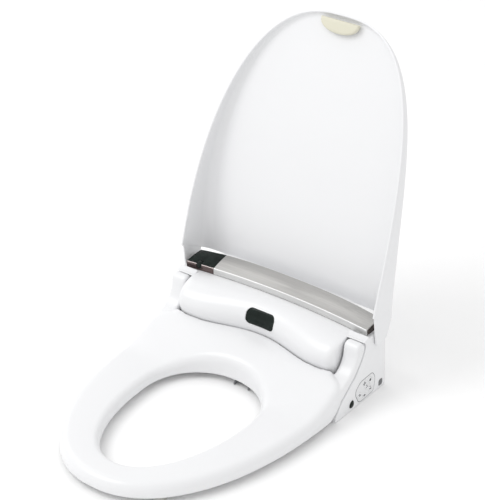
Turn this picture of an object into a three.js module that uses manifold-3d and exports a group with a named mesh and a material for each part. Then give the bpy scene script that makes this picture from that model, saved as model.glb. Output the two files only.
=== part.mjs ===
// Electric bidet seat: a heated seat and a lid hinged to a main unit that bolts to a toilet bowl.
//
// Frame: millimetres, +Z up, +Y to the back, +X to the user's left when seated.
// Z = 0 is the plane of the bowl's rim; X = Y = 0 is midway between the two fixing bolts.
import * as THREE from "three";
import { mergeVertices } from "three/addons/utils/BufferGeometryUtils.js";
import Module from "manifold-3d";

const wasm = await Module();
wasm.setup();

// ---------------------------------------------------------------- driving dimensions

const GAP = 0.3; // between pieces that touch
const WALL = 2.7; // moulded covers

const SEAT_TIP_Y = -475;
const SEAT_HALF_WIDTH = 192.6;
const SEAT_WIDEST_Y = -125;
const SEAT_POWER = 2.2; // exponent of the outline's superellipse
const SEAT_BOTTOM_Z = 10;
const SEAT_TOP_Z = 34;
const SEAT_DECK_RISE = 29.5; // the deck at the back stands this much higher
const SEAT_SKIN = 3;
const OPENING = { halfWidth: 102.9, frontY: -420.8, widestY: -224.6, rearY: -122, power: 2.08 };

const ARM_INNER_X = 161.5;
const ARM_OUTER_X = 190.8;
const SEAT_HINGE = { y: -40, z: 101 };
const ARM_END_RADIUS = 11;

const LID_HINGE = { y: 2.5, z: 101 };
const LID_OPEN_DEG = 116.2;
const LID_TIP_Y = -478;
const LID_HALF_WIDTH = 196.9; // of the curve its edge follows
const LID_X = 196.2; // outside of its flanks
const LID_WIDEST_Y = -26.6;
const LID_POWER = 2.66;
const LID_REAR_Y = -32;
const LID_SPAN = 435; // from the tip to the rear of the straight part of the rim
const LID_WALL = 3.6;

const COVER_X = 191.3; // outside of the side covers
const FASCIA_X = 158.5; // outside of the fascia's ends
const UNIT_FRONT_Y = -110;
const COVER_REAR_Y = 27;
const DECK_Z = 112; // top of the side covers, under the trim bar
const REAR_RADIUS = 44; // the rear cover curves about the lid's hinge axis

const TRIM_X = 183.2;
const TRIM_THICKNESS = 2.2;
const TRIM_LIP = 11.3;
const WINDOW_X = -128; // the display window runs from the bar's left end to here

const NOZZLE = { x: 11, y: -103, z: 2, slopeDeg: 24 };
const PORT_HALF_WIDTH = 15.5;
const WHEEL_RADIUS = 8;

// ---------------------------------------------------------------- small helpers

const { clamp, degToRad, lerp } = THREE.MathUtils;
const smooth = (t) => THREE.MathUtils.smoothstep(t, 0, 1);
const steps = (count) => Array.from({ length: count + 1 }, (_, i) => i / count);
const parts = new THREE.Group();

// Joins equal vertices, drops triangles that have collapsed and turns every face outwards.
function tidyMesh(geometry) {
  geometry.deleteAttribute("normal");
  geometry.deleteAttribute("uv");
  const merged = mergeVertices(geometry, 1e-4);
  const place = merged.attributes.position;
  const index = Array.from(merged.index.array);
  const kept = [];
  let volume = 0;
  const [a, b, c] = [new THREE.Vector3(), new THREE.Vector3(), new THREE.Vector3()];
  for (let i = 0; i < index.length; i += 3) {
    const [p, q, r] = index.slice(i, i + 3);
    if (p === q || q === r || r === p) continue;
    kept.push(p, q, r);
    a.fromBufferAttribute(place, p);
    b.fromBufferAttribute(place, q);
    c.fromBufferAttribute(place, r);
    volume += a.dot(b.cross(c));
  }
  if (volume < 0) kept.reverse();
  merged.setIndex(kept);
  return merged;
}

function solid(geometry) {
  const closed = tidyMesh(geometry);
  return new wasm.Manifold(
    new wasm.Mesh({
      numProp: 3,
      vertProperties: closed.attributes.position.array,
      triVerts: new Uint32Array(closed.index.array),
    }),
  );
}

function geometryOf(manifold) {
  const mesh = manifold.getMesh();
  const geometry = new THREE.BufferGeometry();
  geometry.setAttribute("position", new THREE.BufferAttribute(mesh.vertProperties, 3));
  geometry.setIndex(new THREE.BufferAttribute(mesh.triVerts, 1));
  return geometry;
}

const join = (first, ...others) => others.reduce((sum, next) => sum.add(next), first);
const cut = (first, ...others) => others.reduce((rest, next) => rest.subtract(next), first);

function box(x, y, z) {
  const geometry = new THREE.BoxGeometry(x[1] - x[0], y[1] - y[0], z[1] - z[0]);
  geometry.translate((x[0] + x[1]) / 2, (y[0] + y[1]) / 2, (z[0] + z[1]) / 2);
  return solid(geometry);
}

// A cylinder between two points.
function rod(radius, from, to, sides = 24) {
  const start = new THREE.Vector3(...from);
  const span = new THREE.Vector3(...to).sub(start);
  const geometry = new THREE.CylinderGeometry(radius, radius, span.length(), sides);
  const turn = new THREE.Quaternion().setFromUnitVectors(
    new THREE.Vector3(0, 1, 0),
    span.clone().normalize(),
  );
  geometry.applyQuaternion(turn);
  geometry.translate(...start.addScaledVector(span, 0.5).toArray());
  return solid(geometry);
}

// A side outline given as [y, z] points, extruded along X, with its edges rounded if asked.
function slab(outline, x, round = 0) {
  const shape = new THREE.Shape(outline.map(([y, z]) => new THREE.Vector2(y, z)));
  const geometry = new THREE.ExtrudeGeometry(shape, {
    depth: x[1] - x[0] - 2 * round,
    bevelEnabled: round > 0,
    bevelThickness: round,
    bevelSize: round,
    bevelOffset: -round,
    bevelSegments: 2,
  });
  geometry.translate(0, 0, x[0] + round);
  const toSide = new THREE.Matrix4().makeBasis(
    new THREE.Vector3(0, 1, 0),
    new THREE.Vector3(0, 0, 1),
    new THREE.Vector3(1, 0, 0),
  );
  geometry.applyMatrix4(toSide);
  return solid(geometry);
}

// A closed outline moved inwards by a distance, with mitred corners.
function inset(outline, distance) {
  const area = THREE.ShapeUtils.area(outline.map(([y, z]) => new THREE.Vector2(y, z)));
  const side = Math.sign(area) * distance;
  return outline.map((point, i) => {
    const before = outline[(i + outline.length - 1) % outline.length];
    const after = outline[(i + 1) % outline.length];
    const first = new THREE.Vector2(point[0] - before[0], point[1] - before[1]).normalize();
    const second = new THREE.Vector2(after[0] - point[0], after[1] - point[1]).normalize();
    const inward = new THREE.Vector2(-first.y - second.y, first.x + second.x).normalize();
    const mitre = side / Math.max(0.4, -first.y * inward.x + first.x * inward.y);
    return [point[0] + inward.x * mitre, point[1] + inward.y * mitre];
  });
}

function roundedRectangle(width, height, radius) {
  const [w, h] = [width / 2 - radius, height / 2 - radius];
  const corner = (x, y, from) =>
    steps(4).map((t) => {
      const angle = degToRad(from + 90 * t);
      return [x + radius * Math.cos(angle), y + radius * Math.sin(angle)];
    });
  return [...corner(w, h, 0), ...corner(-w, h, 90), ...corner(-w, -h, 180), ...corner(w, -h, 270)];
}

const arc = (centre, radius, fromDeg, toDeg, count) =>
  steps(count).map((t) => {
    const angle = degToRad(lerp(fromDeg, toDeg, t));
    return [centre.y + radius * Math.cos(angle), centre.z + radius * Math.sin(angle)];
  });

// The triangles of a grid of points; closed joins its last column to its first.
function gridTriangles(grid, closed = false) {
  const triangles = [];
  for (let i = 0; i + 1 < grid.length; i++) {
    const columns = closed ? grid[i].length : grid[i].length - 1;
    for (let j = 0; j < columns; j++) {
      const next = (j + 1) % grid[i].length;
      triangles.push(grid[i][j], grid[i + 1][j], grid[i + 1][next]);
      triangles.push(grid[i][j], grid[i + 1][next], grid[i][next]);
    }
  }
  return triangles;
}

function fromTriangles(points) {
  const flat = points.flatMap((point) => point.toArray());
  const geometry = new THREE.BufferGeometry();
  return geometry.setAttribute("position", new THREE.Float32BufferAttribute(flat, 3));
}

const mirrored = (triangles) => {
  const other = triangles.map((p) => new THREE.Vector3(-p.x, p.y, p.z));
  for (let i = 0; i < other.length; i += 3) [other[i], other[i + 1]] = [other[i + 1], other[i]];
  return other;
};

// The normals of a grid's surface, each by the points round it.
function gridNormals(grid) {
  const at = (i, j) =>
    grid[clamp(i, 0, grid.length - 1)][clamp(j, 0, grid[0].length - 1)];
  return grid.map((row, i) =>
    row.map((_, j) => {
      const along = at(i + 1, j).clone().sub(at(i - 1, j));
      const across = at(i, j + 1).clone().sub(at(i, j - 1));
      return along.cross(across).normalize();
    }),
  );
}

// A shell of even thickness whose outside is a grid; its normals point outwards when thickness > 0.
function shell(grid, thickness) {
  const normals = gridNormals(grid);
  const inside = grid.map((row, i) =>
    row.map((point, j) => point.clone().addScaledVector(normals[i][j], -thickness)),
  );
  const last = grid.length - 1;
  const end = grid[0].length - 1;
  const column = (rows, j) => rows.map((row) => row[j]);
  return solid(
    fromTriangles([
      ...gridTriangles(grid),
      ...gridTriangles([...inside].reverse()),
      ...gridTriangles([inside[0], grid[0]]),
      ...gridTriangles([grid[last], inside[last]]),
      ...gridTriangles([column(grid, 0), column(inside, 0)]),
      ...gridTriangles([column(inside, end), column(grid, end)]),
    ]),
  );
}

// A solid bar through convex sections that have the same number of points.
function loft(sections) {
  const cap = (ring) =>
    ring.slice(2).flatMap((point, i) => [ring[0], ring[i + 1], point]);
  return solid(
    fromTriangles([
      ...gridTriangles(sections, true),
      ...cap([...sections[0]]),
      ...cap([...sections[sections.length - 1]].reverse()),
    ]),
  );
}

const vector = (x, y, z) => new THREE.Vector3(x, y, z);

// ---------------------------------------------------------------- materials

const plastic = (colour, roughness = 0.35) =>
  new THREE.MeshStandardMaterial({ color: colour, roughness, metalness: 0 });
const metal = (colour, roughness = 0.35) =>
  new THREE.MeshStandardMaterial({ color: colour, roughness, metalness: 1 });

const WHITE = plastic(0xf2f2f0, 0.3);
const WHITE_MATT = plastic(0xe9e9e7, 0.5);
const CREAM = plastic(0xdedccd, 0.6);
const DARK_GLASS = plastic(0x14181a, 0.12);
const DARK_BROWN = plastic(0x4a443d, 0.4);
const GREY = plastic(0x8a8d90, 0.5);
const BLACK = plastic(0x202124, 0.5);
const RUBBER = plastic(0xb9b9b5, 0.8);
const BRUSHED_STEEL = metal(0xb9b4ab, 0.32);
const STEEL = metal(0xc4c6c8, 0.3);
const BRASS = metal(0xb8965a, 0.35);
const BOARD_GREEN = plastic(0x2f6b45, 0.6);
const COPPER = metal(0xb87a55, 0.4);

function add(name, shape, material, parent = parts) {
  const mesh = new THREE.Mesh(geometryOf(shape), material);
  mesh.name = name;
  parent.add(mesh);
  return mesh;
}

// ---------------------------------------------------------------- shared curves

// Right half of a superellipse between two ends; turn runs from 0 at its front to 90 at its widest.
function superellipse(halfWidth, endY, widestY, power, turnDeg) {
  const turn = degToRad(turnDeg);
  const x = halfWidth * Math.sin(turn) ** (2 / power);
  const y = widestY + (endY - widestY) * Math.cos(turn) ** (2 / power);
  return [x, y];
}

// Front edge, in plan, of the main unit along the seat: it bulges forward at both sides.
const bulge = (x) => -63 + 13 * Math.cos((Math.PI * x) / 132);
const seatRearY = (x) => bulge(x) - 2;
const fasciaFootZ = (x) => 61.5 + 4 * (x / 130) ** 2;

const trimFrontY = (x) => -11 - 6.3 * (x / TRIM_X) ** 2;
const trimFrontZ = (x) => 129 - 5.2 * (x / TRIM_X) ** 2;
const TRIM_REAR_Y = 22;
const trimRearZ = (x) => 140.5 - 12 * Math.abs(x / 175) ** 2.5;

// The line between an arm and its side cover, from the hinge down to the bowl's rim.
const CREASE = [
  [SEAT_HINGE.y + ARM_END_RADIUS, SEAT_HINGE.z],
  [-31.5, 92],
  [-37.5, 80.5],
  [-55, 59],
  [-75, 44],
  [-95, 29],
  [-112, 13],
  [-119, SEAT_BOTTOM_Z],
];

// The frame of the wash nozzle, which slides out of its port down a slope.
const nozzleTurn = degToRad(NOZZLE.slopeDeg);
const outwards = vector(0, -Math.cos(nozzleTurn), -Math.sin(nozzleTurn));
const upwards = vector(0, -Math.sin(nozzleTurn), Math.cos(nozzleTurn));
// A point beside the nozzle's axis: distance out of the port, across and above the axis.
const nozzlePoint = (out, across = 0, above = 0) =>
  vector(NOZZLE.x + across, NOZZLE.y, NOZZLE.z)
    .addScaledVector(outwards, out)
    .addScaledVector(upwards, above);

// A box whose length lies along the nozzle's axis.
function nozzleBox(out, across, above) {
  const geometry = new THREE.BoxGeometry(
    across[1] - across[0],
    out[1] - out[0],
    above[1] - above[0],
  );
  geometry.rotateX(nozzleTurn);
  const middle = nozzlePoint(
    (out[0] + out[1]) / 2,
    (across[0] + across[1]) / 2,
    (above[0] + above[1]) / 2,
  );
  geometry.translate(...middle.toArray());
  return solid(geometry);
}

// ---------------------------------------------------------------- seat

const seat = new THREE.Group();
parts.add(seat);

function seatTopZ(x, y) {
  const deck = SEAT_DECK_RISE * smooth((y + 190) / 130);
  const sides = 5 * Math.min(1, Math.abs(x) / 150) ** 2 * smooth((y + 130) / 60);
  return SEAT_TOP_Z + deck + sides;
}
const seatBottomZ = (y) => SEAT_BOTTOM_Z + 28 * smooth((y + 118) / 38);

// Outer edge in plan, right half, from the middle of the back to the tip.
const seatEdge = [
  ...steps(9).map((t) => [ARM_INNER_X * t, seatRearY(ARM_INNER_X * t)]),
  [177, -78],
  [187, -88],
  [ARM_OUTER_X, -100],
  ...steps(15).map((t) =>
    superellipse(SEAT_HALF_WIDTH, SEAT_TIP_Y, SEAT_WIDEST_Y, SEAT_POWER, 90 * (1 - t)),
  ),
];

function openingPoint(turnDeg) {
  const { halfWidth, frontY, widestY, rearY, power } = OPENING;
  const endY = turnDeg > 90 ? rearY : frontY;
  return superellipse(halfWidth, endY, widestY, power, Math.min(turnDeg, 180 - turnDeg));
}

// The point of the opening's edge that lies towards a point of the outer edge.
function openingTowards([x, y]) {
  const centreY = -255;
  const bearing = Math.atan2(x, centreY - y);
  let [low, high] = [0, 180];
  for (let i = 0; i < 40; i++) {
    const middle = (low + high) / 2;
    const [px, py] = openingPoint(middle);
    if (Math.atan2(px, centreY - py) < bearing) low = middle;
    else high = middle;
  }
  return openingPoint(low);
}

// Across the seat from its outer edge to the opening: over the top, with rounded shoulders.
function seatSection(edge, offset) {
  const outer = vector(edge[0], edge[1], 0);
  const inner = vector(...openingTowards(edge), 0);
  const width = outer.distanceTo(inner);
  const place = (inwards, drop, onBottom = false) => {
    const point = outer.clone().lerp(inner, inwards / width);
    const fall = 4 * (inwards / width) ** 2;
    point.z = onBottom ? seatBottomZ(point.y) : seatTopZ(point.x, point.y) - fall - drop;
    return point;
  };
  const besideFascia = smooth((FASCIA_X + 9 - edge[0]) / 12) * smooth((edge[1] + 92) / 10);
  const [outerRound, innerRound] = [Math.max(14 - 12 * besideFascia - offset, 0.4), 11 - offset];
  const bend = 0.293; // 1 - cos 45
  const far = width - offset;
  return [
    place(offset, 0, true),
    place(offset, offset + outerRound),
    place(offset + bend * outerRound, offset + bend * outerRound),
    place(offset + outerRound, offset),
    place(width / 2, offset),
    place(far - innerRound, offset),
    place(far - bend * innerRound, offset + bend * innerRound),
    place(far, offset + innerRound),
    place(far, 0, true),
  ];
}

// A ring round the opening, from its sections on the right half.
function ring(sections) {
  const half = gridTriangles(sections, true);
  return solid(fromTriangles([...half, ...mirrored(half)]));
}

const armOutline = [
  [-119, 36],
  [-105, 49],
  [-82, 60],
  [-69, 66],
  [-59, 75],
  [-53, 87],
  ...arc(SEAT_HINGE, ARM_END_RADIUS, 180, 0, 8),
  ...CREASE.slice(1),
];
// What the side covers need: everything below and behind the crease.
const belowCrease = [...CREASE, [-119, -20], [60, -20], [60, SEAT_HINGE.z]];
const PIN_RADIUS = 4;
const SEAT_PIN_X = [158, 178];

function seatShell() {
  const sections = seatEdge.map((edge) => [
    ...seatSection(edge, 0),
    ...seatSection(edge, SEAT_SKIN).reverse(),
  ]);
  let shape = ring(sections);
  for (const side of [1, -1]) {
    const span = (from, to) => [side * from, side * to].sort((a, b) => a - b);
    shape = cut(shape, slab(belowCrease, span(FASCIA_X - 3.6, 200)));
    shape = join(shape, slab(armOutline, span(ARM_INNER_X, ARM_OUTER_X), 3));
    const bore = rod(
      PIN_RADIUS + GAP,
      [side * (ARM_INNER_X - 1), SEAT_HINGE.y, SEAT_HINGE.z],
      [side * (SEAT_PIN_X[1] + 0.5), SEAT_HINGE.y, SEAT_HINGE.z],
    );
    shape = cut(shape, bore);
  }
  return shape;
}

// The flat ring that closes the seat from below, inside its skin and clear of the arms.
function seatPlate(below, above, sideGap, stations) {
  const sections = seatEdge.map((edge) => {
    const outer = vector(edge[0], edge[1], 0);
    const inner = vector(...openingTowards(edge), 0);
    const inwards = inner.clone().sub(outer).normalize();
    outer.addScaledVector(inwards, sideGap);
    inner.addScaledVector(inwards, -sideGap);
    if (outer.y > -150) {
      if (outer.x > FASCIA_X - 20) outer.y = Math.min(outer.y, -84);
      outer.x = Math.min(outer.x, FASCIA_X - 7);
    }
    const across = steps(stations).map((t) => outer.clone().lerp(inner, t));
    const face = (rise) => across.map((point) => vector(point.x, point.y, rise(point)));
    return [...face(above), ...face(below).reverse()];
  });
  return ring(sections);
}

add("seat_shell", seatShell(), WHITE, seat);
const plateBelow = (point) => seatBottomZ(point.y) + 0.2;
const plateAbove = (point) => seatBottomZ(point.y) + 2.8;
add("seat_base_plate", seatPlate(plateBelow, plateAbove, SEAT_SKIN + 1.2, 4), WHITE_MATT, seat);
const heaterTop = (point) => seatTopZ(point.x, point.y) - SEAT_SKIN - 5;
const heaterBottom = (point) => heaterTop(point) - 1.2;
add("seat_heater", seatPlate(heaterBottom, heaterTop, 17, 2), COPPER, seat);

const BUMPER = { x: 15, y: 32, height: SEAT_BOTTOM_Z };
for (const [name, x, y] of [
  ["seat_bumper_front_right", 92, -418],
  ["seat_bumper_front_left", -92, -418],
  ["seat_bumper_rear_right", 152, -200],
  ["seat_bumper_rear_left", -152, -200],
]) {
  const halfX = BUMPER.x / 2;
  const halfY = BUMPER.y / 2;
  const foot = box([x - halfX, x + halfX], [y - halfY, y + halfY], [0, BUMPER.height - 0.1]);
  add(name, foot, RUBBER, seat);
}

// ---------------------------------------------------------------- lid, drawn closed and then turned open

const lid = new THREE.Group();
lid.position.set(0, LID_HINGE.y, LID_HINGE.z);
lid.rotation.x = -degToRad(LID_OPEN_DEG);
const lidParts = new THREE.Group();
lidParts.position.set(0, -LID_HINGE.y, -LID_HINGE.z);
lid.add(lidParts);
parts.add(lid);

const alongLid = (y) => (y - LID_TIP_Y) / LID_SPAN;
const lidRimZ = (y) => 47 + 13.5 * alongLid(y) - 60 * alongLid(y) * (1 - alongLid(y));
const lidTopZ = (y) => 58 + 76 * Math.max(0, alongLid(y)) ** 2.55;
const lidRound = (y) => 9 + 15 * smooth(alongLid(y));
const LID_CROWN = 3;
const LID_DRAFT = 0.5;
const LID_SPINE_FRONT_Y = -350;

// Outer edge of the lid in plan, right half, from the rear to the tip, with its inward normals.
const lidEdge = (() => {
  const turns = [...steps(3).map((t) => 90 - 6 * t), ...steps(18).slice(1).map((t) => 84 * (1 - t))];
  const points = turns.map((turn) => {
    const [x, y] = superellipse(LID_HALF_WIDTH, LID_TIP_Y, LID_WIDEST_Y, LID_POWER, turn);
    return vector(Math.min(x, LID_X), Math.min(y, LID_REAR_Y), 0);
  });
  points[0].y = LID_REAR_Y;
  return points;
})();

function lidSection(k, offset) {
  const before = lidEdge[Math.max(0, k - 1)];
  const after = lidEdge[Math.min(lidEdge.length - 1, k + 1)];
  const along = after.clone().sub(before).normalize();
  const inwards = k === lidEdge.length - 1 ? vector(0, 1, 0) : vector(along.y, -along.x, 0);
  if (k === 0) inwards.set(-1, 0, 0);
  const edge = lidEdge[k].clone().addScaledVector(inwards, offset);
  const spine = vector(0, clamp(lidEdge[k].y, LID_SPINE_FRONT_Y, LID_REAR_Y), 0);
  const y0 = lidEdge[k].y;
  const radius = lidRound(y0) - offset;
  const top = (point, towardsSpine) =>
    lidTopZ(point.y) - offset + LID_CROWN * (1 - (1 - towardsSpine) ** 2);
  const place = (inset, z) => {
    const point = edge.clone().addScaledVector(inwards, inset);
    point.z = z;
    return point;
  };
  const rise = lidTopZ(y0) - offset - radius;
  const corner = [0, 22.5, 45, 67.5, 90].map((angle) => {
    const turn = degToRad(angle);
    return place(
      LID_DRAFT + radius * (1 - Math.cos(turn)),
      Math.max(rise + radius * Math.sin(turn), lidRimZ(y0) + 1),
    );
  });
  const start = corner[corner.length - 1];
  const panel = [0.25, 0.5, 0.75, 1].map((t) => {
    const point = start.clone().lerp(spine, t);
    point.z = top(point, t);
    return point;
  });
  const wallTop = corner[0].z;
  return [place(0, lidRimZ(y0)), place(LID_DRAFT / 2, (lidRimZ(y0) + wallTop) / 2), ...corner, ...panel];
}

function lidShell() {
  const outside = lidEdge.map((_, k) => lidSection(k, 0));
  const inside = lidEdge.map((_, k) => lidSection(k, LID_WALL));
  const column = (rows, j) => rows.map((row) => row[j]);
  const half = [
    ...gridTriangles(outside),
    ...gridTriangles([...inside].reverse()),
    ...gridTriangles([column(outside, 0), column(inside, 0)]),
    ...gridTriangles([inside[0], outside[0]]),
  ];
  let shape = solid(fromTriangles([...half, ...mirrored(half)]));
  for (const side of [1, -1]) {
    const span = (from, to) => [side * from, side * to].sort((a, b) => a - b);
    shape = join(shape, slab(lidEar, span(LID_EAR_X[0], LID_EAR_X[1])));
    const centre = (x) => [side * x, LID_HINGE.y, LID_HINGE.z];
    shape = cut(shape, rod(PIN_RADIUS + GAP, centre(LID_BOSS_X), centre(LID_EAR_X[1] - 1.5)));
  }
  return shape;
}

// The ear that carries the hinge boss at each side, as a side outline of the closed lid.
const LID_EAR_X = [LID_X - LID_WALL, LID_X];
const LID_BOSS_RADIUS = 8;
const LID_BOSS_X = 184;
const lidEar = [
  [-46, 63],
  [-33, 67],
  ...arc(LID_HINGE, 9.5, -62, 20, 6),
  [7, 113],
  [-3, 122.5],
  [-33, 120],
  [-37, 112],
  [-46, 104],
];

add("lid_shell", lidShell(), WHITE, lidParts);
for (const [word, side] of [["right", 1], ["left", -1]]) {
  const centre = (x) => [side * x, LID_HINGE.y, LID_HINGE.z];
  const boss = rod(LID_BOSS_RADIUS, centre(LID_BOSS_X), centre(LID_EAR_X[0] - 0.2));
  const bore = rod(PIN_RADIUS + GAP, centre(LID_BOSS_X - 1), centre(LID_EAR_X[0] + 1));
  add(`lid_hinge_boss_${word}`, cut(boss, bore), WHITE_MATT, lidParts);
}

// Half-moon pad inside the lid's tip.
function lidPad() {
  const halfWidth = 35;
  const depth = 19;
  const back = LID_TIP_Y + LID_WALL + LID_DRAFT + 8;
  const outline = steps(14).map((t) => {
    const turn = Math.PI * t;
    return new THREE.Vector2(halfWidth * Math.cos(turn), back + depth * Math.sin(turn) ** 0.8);
  });
  const geometry = new THREE.ExtrudeGeometry(new THREE.Shape(outline), {
    depth: 5,
    bevelEnabled: true,
    bevelThickness: 1.5,
    bevelSize: 1.5,
    bevelSegments: 1,
  });
  geometry.translate(0, 0, lidTopZ(back) - LID_WALL - 9);
  const place = geometry.attributes.position;
  for (let i = 0; i < place.count; i++) {
    const [x, y] = [place.getX(i), place.getY(i)];
    place.setZ(i, place.getZ(i) - 0.0007 * x * x + 0.01 * (y - back));
  }
  return solid(geometry);
}
add("lid_pad", lidPad(), CREAM, lidParts);

// ---------------------------------------------------------------- front cover: fascia with both cheeks

// A cubic curve from under the trim bar, round the bulge, to the foot, and on down behind the seat.
function fasciaColumn(x, back) {
  const head = { y: trimFrontY(x) + 1, z: trimFrontZ(x) - TRIM_LIP - 1 };
  const foot = { y: bulge(x), z: fasciaFootZ(x) };
  const over = { y: head.y - 36 - 7 * (x / 130) ** 2, z: head.z + 2.5 };
  const under = { y: foot.y - 16, z: foot.z + 33 };
  const curve = steps(8).map((t) => {
    const s = 1 - t;
    const mix = (k) =>
      s ** 3 * head[k] + 3 * s * s * t * over[k] + 3 * s * t * t * under[k] + t ** 3 * foot[k];
    return [mix("y"), mix("z")];
  });
  curve.push([foot.y + 2, foot.z - 10], [foot.y + 3, 30.8]);
  return curve.map(([y, z]) => vector(x, Math.max(y, Math.min(y + back, -15)), z));
}

const fasciaColumns = (() => {
  const round = 14;
  const right = [
    [FASCIA_X, 34],
    ...[0, 30, 60, 90].map((angle) => {
      const turn = degToRad(angle);
      return [FASCIA_X - round * (1 - Math.cos(turn)), round * (1 - Math.sin(turn))];
    }),
    [125, 0],
    [100, 0],
    [75, 0],
    [50, 0],
    [25, 0],
  ];
  const left = right.map(([x, back]) => [-x, back]);
  return [...left, [0, 0], ...right.reverse()];
})();

const sensorFace = { z: 92.7, width: 56, height: 26, radius: 9 };
function sensorPrism(margin) {
  const { z, width, height, radius } = sensorFace;
  const outline = roundedRectangle(width + 2 * margin, height + 2 * margin, radius + margin);
  const shape = new THREE.Shape(outline.map(([x, up]) => new THREE.Vector2(x, up)));
  const geometry = new THREE.ExtrudeGeometry(shape, { depth: 40, bevelEnabled: false });
  geometry.rotateX(Math.PI / 2);
  geometry.translate(0, -35, z);
  return solid(geometry);
}

const fasciaGrid = fasciaColumns.map(([x, back]) => fasciaColumn(x, back)).reverse();

const coverOutline = [
  [UNIT_FRONT_Y, 0],
  [UNIT_FRONT_Y, 9],
  [-94, 27.2],
  [-74, 42.2],
  [-54, 57.2],
  [-36.2, 79],
  [-30, 91.5],
  ...arc(SEAT_HINGE, ARM_END_RADIUS + 1.6, -5, 65, 6),
  [-27, 114],
  [-22, 116.5],
  [-19, DECK_Z],
  [COVER_REAR_Y - 3, DECK_Z],
  [COVER_REAR_Y, DECK_Z - 4],
  [COVER_REAR_Y, 92],
  [COVER_REAR_Y + 4, 12],
  [COVER_REAR_Y + 4, 0],
];

// Keypad on the right cover. Its keys stand in rows along a diagonal.
const KEYPAD_TURN = degToRad(-48);
const keypadOutline = [
  [1, 30],
  [-7, 43],
  [-42, 42],
  [-55, 32],
  [-56, 22],
  [-47, 5],
  [-40, 2.6],
  [-5, 4],
  [-1, 14],
];
const KEYS = [
  { name: "stop_button", y: -14, z: 31, length: 15, width: 8.5 },
  { name: "rear_wash_button", y: -30.5, z: 34, length: 9, width: 8.5 },
  { name: "front_wash_button", y: -24.5, z: 24, length: 9, width: 8.5 },
  { name: "nozzle_clean_button", y: -14.5, z: 15, length: 9, width: 8.5 },
  { name: "dryer_button", y: -44.5, z: 18, length: 9, width: 8.5 },
  { name: "deodorise_button", y: -31, z: 10.5, length: 9, width: 8.5 },
];
const SIDE_SENSOR = { y: -67, z: 12, radius: 7.4 };

function keyPrism(key, margin, x) {
  const outline = roundedRectangle(key.length + 2 * margin, key.width + 2 * margin, 2 + margin);
  const turned = outline.map(([a, b]) => [
    key.y + a * Math.cos(KEYPAD_TURN) - b * Math.sin(KEYPAD_TURN),
    key.z + a * Math.sin(KEYPAD_TURN) + b * Math.cos(KEYPAD_TURN),
  ]);
  return slab(turned, x);
}

const RELEASE = { y: 17, z: 10, width: 11, height: 12 };
function releasePrism(margin, x) {
  const outline = roundedRectangle(RELEASE.width + 2 * margin, RELEASE.height + 2 * margin, 4);
  return slab(outline.map(([y, z]) => [y + RELEASE.y, z + RELEASE.z]), x);
}

const FILTER = { y: [-36, 6], z: [16, 48] };

// One cheek: a tray whose open side faces the middle of the unit.
function cheek(side) {
  const span = (from, to) => [side * from, side * to].sort((a, b) => a - b);
  const block = slab(coverOutline, span(FASCIA_X - 3, COVER_X));
  const hollow = slab(inset(coverOutline, WALL), span(FASCIA_X - 10, COVER_X - WALL));
  const boss = rod(
    LID_BOSS_RADIUS + 0.6,
    [side * (LID_BOSS_X - 0.6), LID_HINGE.y, LID_HINGE.z],
    [side * (COVER_X + 1), LID_HINGE.y, LID_HINGE.z],
  );
  return cut(block, hollow, boss);
}

function frontCover() {
  let shape = cut(shell(fasciaGrid, 2.5), sensorPrism(GAP));
  shape = join(shape, cheek(1), cheek(-1));
  for (const side of [1, -1]) {
    const pin = (x) => [side * x, SEAT_HINGE.y, SEAT_HINGE.z];
    shape = cut(shape, rod(PIN_RADIUS + GAP, pin(SEAT_PIN_X[0] - 6), pin(FASCIA_X + 4)));
  }
  shape = cut(shape, nozzleBox([-80, -20], [-12.6, 12.6], [-14, 10.4]));
  shape = cut(shape, slab(inset(keypadOutline, -GAP), [COVER_X - WALL - 1, COVER_X + 1]));
  shape = cut(shape, releasePrism(GAP, [COVER_X - WALL - 1, COVER_X + 1]));
  const sensor = (x) => [x, SIDE_SENSOR.y, SIDE_SENSOR.z];
  shape = cut(shape, rod(SIDE_SENSOR.radius + GAP, sensor(COVER_X - WALL - 1), sensor(COVER_X + 1)));
  const filterHole = slab(
    [
      [FILTER.y[0] - GAP, FILTER.z[0] - GAP],
      [FILTER.y[1] + GAP, FILTER.z[0] - GAP],
      [FILTER.y[1] + GAP, FILTER.z[1] + GAP],
      [FILTER.y[0] - GAP, FILTER.z[1] + GAP],
    ],
    [-COVER_X - 1, -COVER_X + WALL + 1],
  );
  return cut(shape, filterHole);
}
add("front_cover", frontCover(), WHITE);

const windowShell = shell(
  fasciaGrid.map((column) => column.map((point) => point.clone().add(vector(0, 0.5, -0.2)))),
  2.2,
);
add("sensor_window", windowShell.intersect(sensorPrism(0)), DARK_GLASS);

// ---------------------------------------------------------------- keypad, side sensor and release button

function keypadPlate() {
  let plate = slab(keypadOutline, [COVER_X - WALL, COVER_X + 0.3]);
  for (const key of KEYS) plate = cut(plate, keyPrism(key, GAP, [COVER_X - 5, COVER_X + 2]));
  return plate;
}
add("keypad_plate", keypadPlate(), WHITE_MATT);
for (const key of KEYS) add(key.name, keyPrism(key, 0, [COVER_X - 4.2, COVER_X + 0.9]), WHITE);
add(
  "side_sensor_window",
  rod(
    SIDE_SENSOR.radius,
    [COVER_X - 2.5, SIDE_SENSOR.y, SIDE_SENSOR.z],
    [COVER_X + 3, SIDE_SENSOR.y, SIDE_SENSOR.z],
  ),
  DARK_GLASS,
);
add("release_button", releasePrism(0, [COVER_X - 9, COVER_X + 0.6]), GREY);
const KEY_BOARD_X = COVER_X - 8;
add("keypad_board", box([KEY_BOARD_X - 1.6, KEY_BOARD_X], [-66, -6], [6, 38]), BOARD_GREEN);

// ---------------------------------------------------------------- trim bar over the fascia

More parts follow.
